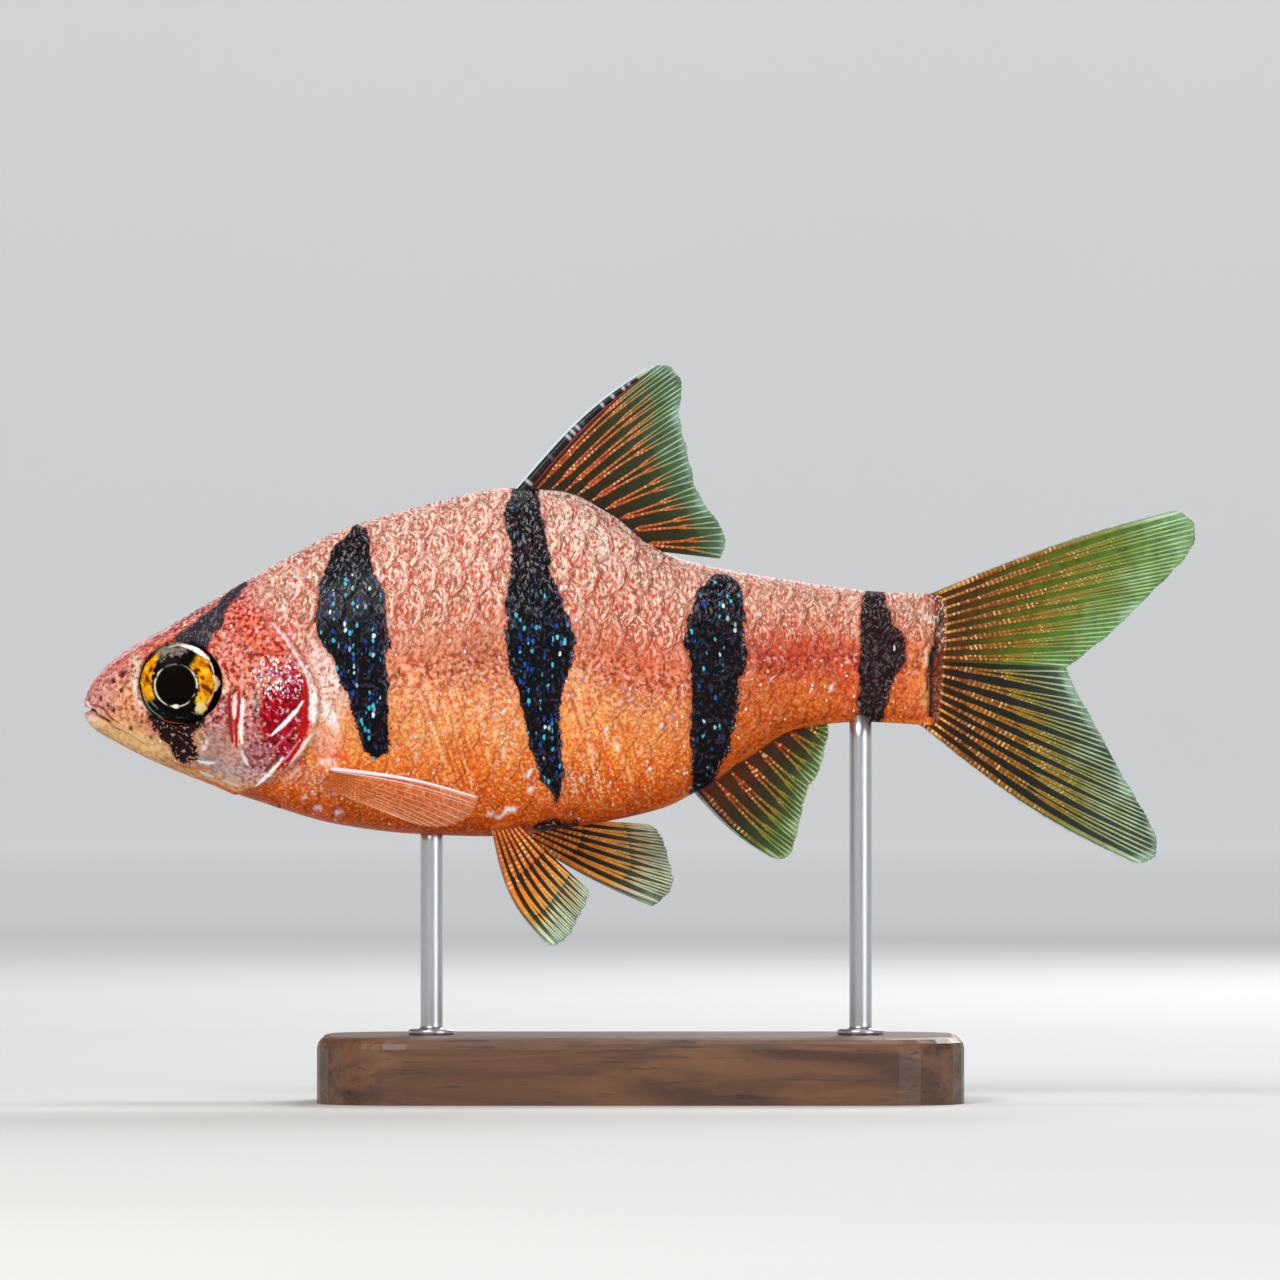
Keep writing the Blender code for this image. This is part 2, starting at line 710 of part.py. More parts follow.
def make_stand(board, steel):
    half = [STAND_LENGTH / 2, STAND_DEPTH / 2]
    outline = []
    for quarter in range(4):
        flip_s = 1 if quarter in (0, 3) else -1
        flip_y = 1 if quarter in (0, 1) else -1
        for k in range(STAND_CORNER_STEPS + 1):
            turn = math.pi / 2 * (quarter + k / STAND_CORNER_STEPS)
            s = flip_s * (half[0] - STAND_CORNER) + STAND_CORNER * math.cos(turn)
            y = flip_y * (half[1] - STAND_CORNER) + STAND_CORNER * math.sin(turn)
            outline.append((STAND_CENTRE + s, y))
    rings = [(0.0, 0.0), (0.0, STAND_HEIGHT - STAND_EDGE)]
    for k in range(1, STAND_EDGE_STEPS + 1):
        turn = math.pi / 2 * k / STAND_EDGE_STEPS
        inset = STAND_EDGE * (1 - math.cos(turn))
        rings.append((inset, STAND_HEIGHT - STAND_EDGE * (1 - math.sin(turn))))
    points = []
    for inset, z in rings:
        for s, y in outline:
            shrink_s = 1 - inset / half[0]
            shrink_y = 1 - inset / half[1]
            points.append(place(STAND_CENTRE + (s - STAND_CENTRE) * shrink_s, y * shrink_y, z))
    count, faces = len(outline), []
    for ring in range(len(rings) - 1):
        for k in range(count):
            n = (k + 1) % count
            a, b = ring * count, (ring + 1) * count
            faces.append([a + k, a + n, b + n, b + k])
    faces.append(list(range(count)))
    faces.append([(len(rings) - 1) * count + k for k in range(count)])
    base = solid("stand_base", points, faces, board)
    sockets = []
    for name, s in ROD_PLACES.items():
        ends = [place(s, 0.0, SOCKET_FLOOR), place(s, 0.0, STAND_HEIGHT + 1.0)]
        sockets.append(tube(f"{name}_socket", ends, [ROD_RADIUS + GAP] * 2, ROD_SIDES))
    combine(base, "DIFFERENCE", sockets)
    smooth_shade(base, 30)
    for name, s in ROD_PLACES.items():
        top = min(belly(s - ROD_RADIUS), belly(s), belly(s + ROD_RADIUS)) - GAP
        ends = [place(s, 0.0, SOCKET_FLOOR + GAP), place(s, 0.0, top)]
        smooth_shade(tube(name, ends, [ROD_RADIUS] * 2, ROD_SIDES, steel))


def main():
    for obj in list(bpy.data.objects):
        bpy.data.objects.remove(obj)
    flesh = material("flesh", (0.86, 0.42, 0.27), 0.35)
    web = material("fin_web", (0.72, 0.42, 0.16), 0.4)
    eye = material("eye", (0.03, 0.03, 0.035), 0.1)
    board = material("stand_board", (0.12, 0.07, 0.045), 0.45)
    steel = material("stand_steel", (0.6, 0.6, 0.62), 0.3, 1.0)
    make_head(flesh)
    make_torso(flesh)
    make_tail(flesh)
    make_eyes(eye)
    make_median_fins(web)
    make_paired_fins(web)
    make_stand(board, steel)


main()
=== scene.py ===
"""The looks of the five-banded barb: skin, scales, eyes, fins, the stand's finishes, light and camera.

Sizes are in millimetres, as in the part's own design, and MM turns them into metres. Points are
(s, y, z): s is the distance behind the snout, y the offset to the fish's right and z the height.
"""

import itertools
import math

import bpy
import numpy as np
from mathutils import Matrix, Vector

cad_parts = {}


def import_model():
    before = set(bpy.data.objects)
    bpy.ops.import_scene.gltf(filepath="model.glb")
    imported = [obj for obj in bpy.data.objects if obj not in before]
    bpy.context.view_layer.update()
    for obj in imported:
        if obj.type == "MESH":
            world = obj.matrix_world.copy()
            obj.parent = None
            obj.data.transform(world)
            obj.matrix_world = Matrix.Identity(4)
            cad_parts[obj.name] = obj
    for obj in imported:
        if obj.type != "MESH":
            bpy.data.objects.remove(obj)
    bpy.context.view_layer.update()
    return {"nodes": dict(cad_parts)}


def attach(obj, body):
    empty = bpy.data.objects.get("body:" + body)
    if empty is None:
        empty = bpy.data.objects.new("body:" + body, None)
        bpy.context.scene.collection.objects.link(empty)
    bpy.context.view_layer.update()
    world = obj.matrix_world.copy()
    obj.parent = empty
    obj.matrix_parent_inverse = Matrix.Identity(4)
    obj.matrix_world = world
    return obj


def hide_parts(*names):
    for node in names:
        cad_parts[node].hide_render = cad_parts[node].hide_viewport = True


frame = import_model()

MM = 0.001
TOTAL_LENGTH = 50.0
SNOUT_X = -TOTAL_LENGTH / 2
LEFT, RIGHT = -1, 1

# The body's outline and width, as in the solids
BACK_POINTS = [
    (0.0, 17.94), (0.15, 18.5), (0.45, 19.05), (1.3, 19.92), (4.2, 21.65), (8.5, 24.15),
    (11.7, 25.8), (15.0, 26.77), (19.0, 27.6), (21.3, 27.48), (23.8, 26.35), (25.4, 25.05),
    (27.0, 24.35), (31.3, 23.52), (36.0, 22.93), (38.6, 22.84),
]
BELLY_POINTS = [
    (0.0, 17.94), (0.06, 17.35), (0.3, 16.88), (1.3, 16.23), (4.2, 14.83), (8.2, 13.38),
    (11.5, 12.45), (14.9, 12.04), (18.2, 11.93), (22.1, 12.38), (25.9, 13.17), (27.7, 14.05),
    (30.4, 15.9), (32.0, 16.75), (34.9, 17.08), (38.6, 16.88),
]
HALF_WIDTH_POINTS = [
    (0.0, 0.0), (0.15, 0.62), (0.45, 0.98), (1.3, 1.42), (2.5, 1.85), (4.2, 2.3), (6.5, 2.7),
    (10.0, 3.05), (14.0, 3.3), (18.0, 3.25), (22.0, 2.95), (26.0, 2.35), (30.0, 1.7),
    (34.0, 1.15), (38.6, 0.62),
]
# Over 1 the body's section is sharper than an ellipse, under 1 fuller
BACK_KEEL = 1.18
BELLY_KEEL = 0.88
# The gill cover's rear edge as (height, s)
GILL_EDGE_POINTS = [
    (9.0, 4.6), (13.6, 6.2), (14.3, 7.9), (15.3, 9.4), (16.5, 10.3), (18.0, 10.6),
    (19.6, 10.2), (21.1, 9.1), (23.5, 7.6), (30.0, 6.2),
]

# The skin
SNOUT_RINGS = 46
SNOUT_END = 1.8
HEAD_RING_STEP = 0.06
HEAD_END = 11.2
BODY_RING_STEP = 0.22
SKIN_END = 39.1
SKIN_SIDES = 440
# Where the tail begins to close, and where it is closed at the belly and at the back
TAIL_THIN_FROM = 37.0
TAIL_THIN_ENDS = (38.55, 39.0)
# Share of the width that the tail loses, and how it comes in
TAIL_THIN = (0.992, 1.1)
COAT_DEPTH = 0.05
# The gill flap's rear edge stands out and the shoulder behind it dips; both end between the two
# heights of FLAP_TOP
FLAP_RISE = 0.17
FLAP_REACH = 1.5
FLAP_TOP = (20.9, 22.3)
SHOULDER_DIP = 0.12
COVER_CENTRE = (8.6, 18.0)
COVER_RADIUS = 1.7
COVER_BULGE = 0.14
# Relief fades out within this distance of the midline
FLANK_FADE = 0.8
# Depth and reach of the cheek's groove, and height, distance and reach of the ridge beside it
GROOVE = (0.09, 0.1)
GROOVE_RIDGE = (0.05, 0.28, 0.2)
STREAK_RISE = 0.03
# Height, size and seed of the skin's fine unevenness
SKIN_GRAIN = [(0.012, 0.35, 8), (0.006, 0.14, 9)]

MOUTH_LINE = [(-0.3, 17.7), (0.35, 17.57), (0.55, 17.33), (0.99, 17.15), (1.29, 16.94)]
MOUTH_DEPTH = 0.4
MOUTH_HALF_OPEN = 0.09
LIP_RISE = 0.09
LIP_APART = 0.27
LIP_REACH = 0.17
NOSTRILS = [((1.3, 18.92), 0.12), ((1.7, 19.22), 0.15)]
NOSTRIL_DEPTH = 0.22
NOSTRIL_RIM = (0.05, 0.08)
CHEEK_GROOVE = [(6.3, 20.3), (6.75, 19.2), (6.9, 17.9), (7.1, 16.4), (7.3, 15.3)]

EYE_CENTRE = (4.36, 18.83)
EYE_RADIUS = 1.87
EYE_BULGE = 1.0
EYE_SINK = 0.42
SOCKET_DEPTH = 1.1
# Height, distance from the eye and reach of the raised rim round it
SOCKET_RIM = (0.1, 0.15, 0.22)
PUPIL_AT = (-0.16, -0.12)
PUPIL_RADIUS = 0.81
IRIS_RING_AT = (-0.2, -0.1)
IRIS_RING_RADIUS = 0.95

# Lines on the eye: points from its centre, half width, colour, strength
EYE_LINES = [
    # The first two lines are a painted highlight: a white arc round the eye's upper right.
    ([(0.05, 1.7), (0.55, 1.58), (0.98, 1.32), (1.25, 1.08)], 0.12, (255, 255, 252), 1.0),
    ([(1.2, 1.14), (1.4, 0.8), (1.5, 0.4)], 0.04, (250, 240, 222), 0.9),
    ([(-0.5, 1.62), (-0.1, 1.72), (0.3, 1.74)], 0.06, (206, 170, 150), 0.8),
    ([(1.5, 0.3), (1.66, 0.0), (1.56, -0.32)], 0.14, (255, 238, 204), 1.0),
    ([(1.2, -0.9), (1.4, -0.6), (1.5, -0.3)], 0.035, (230, 226, 214), 0.7),
    # Painted glints: a teal arc low on the eye's left.
    ([(-1.68, -0.5), (-1.5, -0.95), (-1.2, -1.3), (-0.8, -1.56)], 0.035, (96, 170, 176), 0.75),
    ([(-1.45, -0.45), (-1.3, -0.85), (-1.0, -1.15)], 0.03, (180, 170, 120), 0.5),
    ([(-1.05, -1.5), (-0.5, -1.76), (0.1, -1.8)], 0.04, (206, 104, 30), 0.8),
    ([(0.5, -1.3), (0.9, -1.4), (1.2, -1.15)], 0.04, (80, 120, 124), 0.7),
]

# The scales: gaps between rows and columns on the trunk and on the tail's stalk
ROW_GAP = (1.42, 1.02)
COLUMN_GAP = (1.2, 0.98)
# Where the row on the flank's middle line starts and ends, and its heights there
LATERAL_ENDS = (10.0, 38.0)
LATERAL_HEIGHT = (19.4, 19.85)
SCALE_FIRST, SCALE_LAST = 7.0, 38.5
SCALE_LENGTH = 2.0
# Height of a scale's root and rear edge over the skin's own surface
SCALE_TILT = (-0.08, 0.04)
SCALE_THICKNESS = 0.022
SCALE_STEPS = 13
SCALE_SIDES = 14
# How a scale's rear edge rounds off, how its root curves in, how far it covers the next row
SCALE_ROUND = (0.44, 2.4)
SCALE_ROOT = 0.1
SCALE_COVER = 0.97
# How a scale bows up along its middle and down at its sides
SCALE_BOW = (0.01, 0.02)
# How much scales differ
SCALE_VARY = {"length": 0.04, "cover": 0.04, "place": 0.05, "lift": 0.008, "band": 0.06, "colour": 0.06}

# Rings of the eye's seen half and of its hidden half
EYE_RINGS = (100, 12)
EYE_SIDES = 200
OFBAKE_PATCH = 0.003

BARBEL_ROOT = (1.25, 17.06)
BARBEL_LENGTH = 1.5
BARBEL_RADII = (0.14, 0.05)
BARBEL_STEPS = 24
BARBEL_SIDES = 12
BARBEL_COLOURS = [(206, 148, 108), (222, 186, 150)]

# The stand's rods, each with a low collar on the board
ROD_PLACES = {"front": 15.6, "rear": 34.9}
ROD_RADIUS = 0.5
ROD_FOOT = 1.7
ROD_INTO_BELLY = 0.45
ROD_SIDES = 48
ROD_STEPS = 12
BOARD_TOP = 3.0
SHAFT_FROM = 0.6
# The collar's outline: height above the board and radius
COLLAR = [
    (0.004, 0.5), (0.006, 0.52), (0.008, 0.98), (0.02, 1.03), (0.05, 1.05), (0.17, 1.05),
    (0.22, 1.03),
    (0.25, 0.98), (0.26, 0.92), (0.27, 0.62), (0.29, 0.55), (0.34, 0.51), (0.4, 0.5),
]

# Light and camera
CAMERA_DISTANCE = 800.0
CAMERA_CLIP = (0.01, 10.0)
SENSOR_WIDTH = 36.0
PHOTO_SIDE = 1280
PHOTO_SCALE = 0.045
PHOTO_SNOUT = (85, 681.5)
SNOUT_HEIGHT = 18.9
# Each lamp's name, place, point it faces, width, power and colour
LAMPS = [
    ("key", (-130, -270, 230), (0, 0, 18), 150, 0.82, (1.0, 0.98, 0.95)),
    ("fill", (240, -240, 70), (0, 0, 18), 220, 0.34, (0.95, 0.98, 1.0)),
    ("top", (20, 60, 280), (0, 0, 20), 160, 0.34, (1.0, 1.0, 1.0)),
    ("rear", (110, 290, 190), (0, 0, 18), 160, 0.7, (0.96, 0.98, 1.0)),
]
SKY_COLOUR = (0.93, 0.96, 1.0, 1.0)
SKY_STRENGTH = 0.17


class Line:
    """A smooth single-valued line through a few points that never overshoots them."""

    def __init__(self, points):
        self.at, self.value = np.array(points, float).T
        steps = np.diff(self.value) / np.diff(self.at)
        before, after = steps[:-1], steps[1:]
        turns = before * after <= 0
        middle = 2 * before * after / np.where(turns, 1.0, before + after)
        inner = np.where(turns, 0.0, middle)
        self.slopes = np.concatenate([steps[:1], inner, steps[-1:]])

    def __call__(self, at):
        at = np.clip(at, self.at[0], self.at[-1])
        i = np.clip(np.searchsorted(self.at, at) - 1, 0, len(self.at) - 2)
        span = self.at[i + 1] - self.at[i]
        t = (at - self.at[i]) / span
        bend = (self.slopes[i] * (1 - t) - self.slopes[i + 1] * t) * span
        rise = self.value[i + 1] - self.value[i]
        return self.value[i] + rise * t * t * (3 - 2 * t) + bend * t * (1 - t)


class Path:
    """A smooth curve through a few points, read by its share of the whole length."""

    STEPS = 16

    def __init__(self, points):
        points = np.array(points, float)
        ends = np.vstack([points[:1], points, points[-1:]])
        t = np.arange(self.STEPS)[:, None] / self.STEPS
        dense = []
        for a, b, c, d in zip(ends, ends[1:], ends[2:], ends[3:]):
            out, back = (c - a) / 2, (d - b) / 2
            cubic = 2 * b - 2 * c + out + back
            square = -3 * b + 3 * c - 2 * out - back
            dense.append(((cubic * t + square) * t + out) * t + b)
        self.dense = np.vstack(dense + [points[-1:]])
        steps = np.linalg.norm(np.diff(self.dense, axis=0), axis=1)
        self.shares = np.concatenate([[0.0], np.cumsum(steps)]) / steps.sum()

    def __call__(self, share):
        axes = [np.interp(share, self.shares, axis) for axis in self.dense.T]
        return np.stack(axes, -1)

    def nearest(self, s, z, reach=1.5):
        """Distance from points of the side view to the curve, and the share along it.

        Points farther off than reach are left at a very large distance.
        """
        low, high = self.dense.min(0) - reach, self.dense.max(0) + reach
        close = (s > low[0]) & (s < high[0]) & (z > low[1]) & (z < high[1])
        all_best, all_share = np.full(np.shape(s), 1e9), np.zeros(np.shape(s))
        if not close.any():
            return all_best, all_share
        s, z = s[close], z[close]
        best, share = all_best[close], all_share[close]
        for a, b, start, end in zip(self.dense, self.dense[1:], self.shares, self.shares[1:]):
            way = b - a
            t = np.clip(((s - a[0]) * way[0] + (z - a[1]) * way[1]) / max(way @ way, 1e-12), 0, 1)
            off = np.hypot(s - a[0] - way[0] * t, z - a[1] - way[1] * t)
            closer = off < best
            best = np.where(closer, off, best)
            share = np.where(closer, start + (end - start) * t, share)
        all_best[close], all_share[close] = best, share
        return all_best, all_share


back = Line(BACK_POINTS)
belly = Line(BELLY_POINTS)
widest = Line(HALF_WIDTH_POINTS)
gill_edge = Line(GILL_EDGE_POINTS)
cheek_groove = Path(CHEEK_GROOVE)


def ease(low, high, value):
    t = np.clip((value - low) / (high - low), 0.0, 1.0)
    return t * t * (3 - 2 * t)


def bell(distance, reach):
    return np.exp(-((distance / reach) ** 2))


def blend(a, b, share):
    return a + (b - a) * share


def hashed(cell):
    """A fixed pseudo-random number from -1 to 1 for each whole-number cell."""
    n = cell[..., 0] * 374761393 + cell[..., 1] * 668265263 + cell[..., 2] * 362437
    n = (n ^ (n >> 13)) * 1274126177 & 0x7FFFFFFF
    return ((n ^ (n >> 16)) & 0xFFFF) / 32767.5 - 1


def noise(points, size, seed=0):
    """Smooth noise from -1 to 1 over 3-D points, with features of about this size."""
    at = np.asarray(points) / size + 31.7 * (seed + 1)
    cell = np.floor(at).astype(np.int64)
    part = at - cell
    part = part * part * (3 - 2 * part)
    total = 0.0
    for corner in itertools.product((0, 1), repeat=3):
        share = np.prod(np.where(corner, part, 1 - part), axis=-1)
        total = total + share * hashed(cell + np.array(corner))
    return total


def level_at(s, z):
    """Height in the body: 1 at the back, -1 at the belly."""
    top, bottom = back(s), belly(s)
    return (2 * z - top - bottom) / np.maximum(top - bottom, 1e-6)


def half_width(s, z):
    """Half the body's width at a distance behind the snout and a height."""
    level = np.clip(level_at(s, z), -1.0, 1.0)
    power = blend(BELLY_KEEL, BACK_KEEL, (level + 1) / 2)
    end = blend(*TAIL_THIN_ENDS, (level + 1) / 2)
    lost, curve = TAIL_THIN
    thin = 1 - lost * np.clip((s - TAIL_THIN_FROM) / (end - TAIL_THIN_FROM), 0, 1) ** curve
    return widest(s) * thin * np.sqrt(np.maximum(1 - level * level, 1e-9)) ** power


def body_point(s, turn):
    """Points of the bare body at distances s and turns round it: 0 up, positive to the right."""
    top, bottom = back(s), belly(s)
    z = (top + bottom) / 2 + (top - bottom) / 2 * np.cos(turn)
    y = half_width(s, z) * np.sign(np.sin(turn)) * (np.abs(np.sin(turn)) > 1e-6)
    return np.stack(np.broadcast_arrays(s, y, z), -1)


def trunk_point(s, turn):
    """Points of the trunk, which dips a little where it passes under the gill cover."""
    point = body_point(s, turn)
    fade = 1 - ease(*FLAP_TOP, point[..., 2])
    dip = SHOULDER_DIP * bell(point[..., 0] - gill_edge(point[..., 2]), FLAP_REACH) * fade
    point[..., 1] -= dip * np.sin(turn)
    return point


def normals(surface, s, turn):
    step = 0.01
    along = surface(s + step, turn) - surface(np.maximum(s - step, 0.0), turn)
    round_body = surface(s, turn + step) - surface(s, turn - step)
    out = np.cross(along, round_body)
    return out / np.maximum(np.linalg.norm(out, axis=-1, keepdims=True), 1e-12)


def world(points):
    return (np.asarray(points) + (SNOUT_X, 0.0, 0.0)) * MM


def rgb(red, green, blue):
    """A linear colour from everyday 0 to 255 values."""
    values = np.array([red, green, blue]) / 255
    return np.where(values <= 0.04045, values / 12.92, ((values + 0.055) / 1.055) ** 2.4)


def tinted(colour, tint, share):
    """The colour with this share of an everyday 0 to 255 tint laid over it."""
    return blend(colour, rgb(*tint), np.clip(share, 0, 1)[..., None])


def piece(name, points, face_groups, finishes, face_finish=None, attributes=None, maps=None):
    """A mesh object from arrays of points and faces that rides on the row's one body."""
    mesh = bpy.data.meshes.new(name)
    corners = np.concatenate([faces.ravel() for faces in face_groups]).astype(np.int32)
    sizes = np.concatenate([np.full(len(faces), faces.shape[1]) for faces in face_groups])
    starts = np.concatenate([[0], np.cumsum(sizes)[:-1]]).astype(np.int32)
    mesh.vertices.add(len(points))
    mesh.vertices.foreach_set("co", world(points).astype(np.float32).ravel())
    mesh.loops.add(len(corners))
    mesh.loops.foreach_set("vertex_index", corners)
    mesh.polygons.add(len(sizes))
    mesh.polygons.foreach_set("loop_start", starts)
    for finish in finishes:
        mesh.materials.append(finish)
    if face_finish is not None:
        mesh.polygons.foreach_set("material_index", face_finish.astype(np.int32))
    for key, values in (attributes or {}).items():
        if values.ndim == 2:
            colours = np.concatenate([values, np.ones((len(values), 1))], 1)
            layer = mesh.attributes.new(key, "FLOAT_COLOR", "POINT")
            layer.data.foreach_set("color", colours.astype(np.float32).ravel())
        else:
            layer = mesh.attributes.new(key, "FLOAT", "POINT")
            layer.data.foreach_set("value", values.astype(np.float32))
    for key, uv in (maps or {}).items():
        at_corner = uv[corners] if len(uv) == len(points) else uv
        layer = mesh.uv_layers.new(name=key)
        layer.uv.foreach_set("vector", at_corner.astype(np.float32).ravel())
    mesh.update(calc_edges=True)
    mesh.shade_smooth()
    obj = bpy.data.objects.new(name, mesh)
    bpy.context.scene.collection.objects.link(obj)
    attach(obj, "root")
    return obj


class Finish:
    """A Principled material whose patterns are built up by small node helpers."""

    def __init__(self, name, **fixed):
        self.material = bpy.data.materials.new(name)
        self.material.use_nodes = True
        self.tree = self.material.node_tree
        self.shader = self.tree.nodes["Principled BSDF"]
        for key, value in fixed.items():
            self.shader.inputs[key.replace("_", " ")].default_value = value

    def node(self, kind, output=0, settings=None, **inputs):
        made = self.tree.nodes.new(kind)
        for key, value in (settings or {}).items():
            setattr(made, key, value)
        for key, value in inputs.items():
            self.feed(made.inputs[key.replace("_", " ")], value)
        return made.outputs[output]

    def feed(self, socket, value):
        if isinstance(value, bpy.types.NodeSocket):
            self.tree.links.new(value, socket)
        elif isinstance(value, np.ndarray):
            socket.default_value = (*value, 1.0) if socket.type == "RGBA" else tuple(value)
        else:
            socket.default_value = value

    def into(self, socket, value):
        self.feed(self.shader.inputs[socket], value)

    def attribute(self, name, output="Color"):
        return self.node("ShaderNodeAttribute", output, {"attribute_name": name})

    def amount(self, name):
        return self.attribute(name, "Fac")

    def place(self, size, stretch=(1.0, 1.0, 1.0), tilt=0.0):
        """Coordinates fixed to the object: units of this many mm, stretched, tilted in side view."""
        at = self.node("ShaderNodeTexCoord", "Object")
        scale = Vector([size * MM * way for way in stretch])
        turn = Vector((0.0, math.radians(tilt), 0.0))
        return self.node("ShaderNodeMapping", 0, {"vector_type": "TEXTURE"}, Vector=at, Scale=scale,
                         Rotation=turn)

    def map(self, name, size=(1.0, 1.0)):
        at = self.node("ShaderNodeUVMap", 0, {"uv_map": name})
        return self.node("ShaderNodeMapping", 0, Vector=at, Scale=Vector((*size, 1.0)))

    def noise(self, at, detail=2.0, roughness=0.5, distortion=0.0):
        return self.node("ShaderNodeTexNoise", "Fac", Vector=at, Scale=1.0, Detail=detail,
                         Roughness=roughness, Distortion=distortion)

    def cells(self, at, output="Distance"):
        return self.node("ShaderNodeTexVoronoi", output, Vector=at, Scale=1.0)

    def wobbled(self, at, size, amount):
        """Coordinates pushed about by noise, in their own units."""
        push = self.node("ShaderNodeTexNoise", "Color", Vector=at, Scale=1 / size, Detail=1.0)
        made = self.tree.nodes.new("ShaderNodeVectorMath")
        made.operation = "MULTIPLY_ADD"
        for index, value in enumerate((push, Vector((amount, amount, amount)), at)):
            self.feed(made.inputs[index], value)
        return made.outputs[0]

    def added(self, a, b):
        made = self.tree.nodes.new("ShaderNodeVectorMath")
        self.feed(made.inputs[0], a)
        self.feed(made.inputs[1], b)
        return made.outputs[0]

    def maths(self, operation, a, b=0.0, clamp=False):
        made = self.tree.nodes.new("ShaderNodeMath")
        made.operation = operation
        made.use_clamp = clamp
        self.feed(made.inputs[0], a)
        self.feed(made.inputs[1], b)
        return made.outputs[0]

    def product(self, first, *rest):
        for value in rest:
            first = self.maths("MULTIPLY", first, value)
        return first

    def total(self, first, *rest):
        for value in rest:
            first = self.maths("ADD", first, value)
        return first

    def centred(self, value, size):
        return self.product(self.maths("SUBTRACT", value, 0.5), size)

    def window(self, value, low, high):
        """0 at low and under, 1 at high and over, smooth between; low may be the larger."""
        flip = low > high
        ends = (high, low) if flip else (low, high)
        out = (1.0, 0.0) if flip else (0.0, 1.0)
        return self.node(
            "ShaderNodeMapRange", 0, {"interpolation_type": "SMOOTHSTEP"}, Value=value,
            From_Min=ends[0], From_Max=ends[1], To_Min=out[0], To_Max=out[1],
        )

    def mix(self, a, b, share, way="MIX"):
        made = self.tree.nodes.new("ShaderNodeMix")
        made.data_type = "RGBA"
        made.blend_type = way
        for index, value in ((0, share), (6, a), (7, b)):
            self.feed(made.inputs[index], value)
        return made.outputs[2]

    def bump(self, height, depth, strength):
        """A normal from a height of 0 to 1 that stands for this many millimetres."""
        return self.node("ShaderNodeBump", Height=height, Distance=depth * MM, Strength=strength)


# Markings: the same functions colour the skin and the scales on it

# Colours down the flank: (level from 1 at the back to -1 at the belly, colour)
TRUNK_COLOURS = [
    (-1.0, (186, 68, 4)), (-0.85, (206, 86, 10)), (-0.6, (232, 114, 32)), (-0.35, (238, 148, 82)),
    (-0.05, (218, 132, 94)), (0.3, (212, 122, 96)), (0.65, (212, 144, 124)), (1.0, (200, 148, 134)),
]
STALK_COLOURS = [
    (-1.0, (186, 66, 0)), (-0.6, (198, 84, 4)), (-0.15, (194, 78, 32)), (0.3, (202, 94, 60)),
    (0.7, (200, 132, 108)), (1.0, (194, 140, 122)),
]
HEAD_COLOURS = [
    (-1.0, (206, 146, 96)), (-0.6, (216, 160, 116)), (-0.2, (204, 128, 102)),
    (0.3, (208, 104, 84)), (0.75, (204, 100, 84)), (1.0, (180, 108, 108)),
]
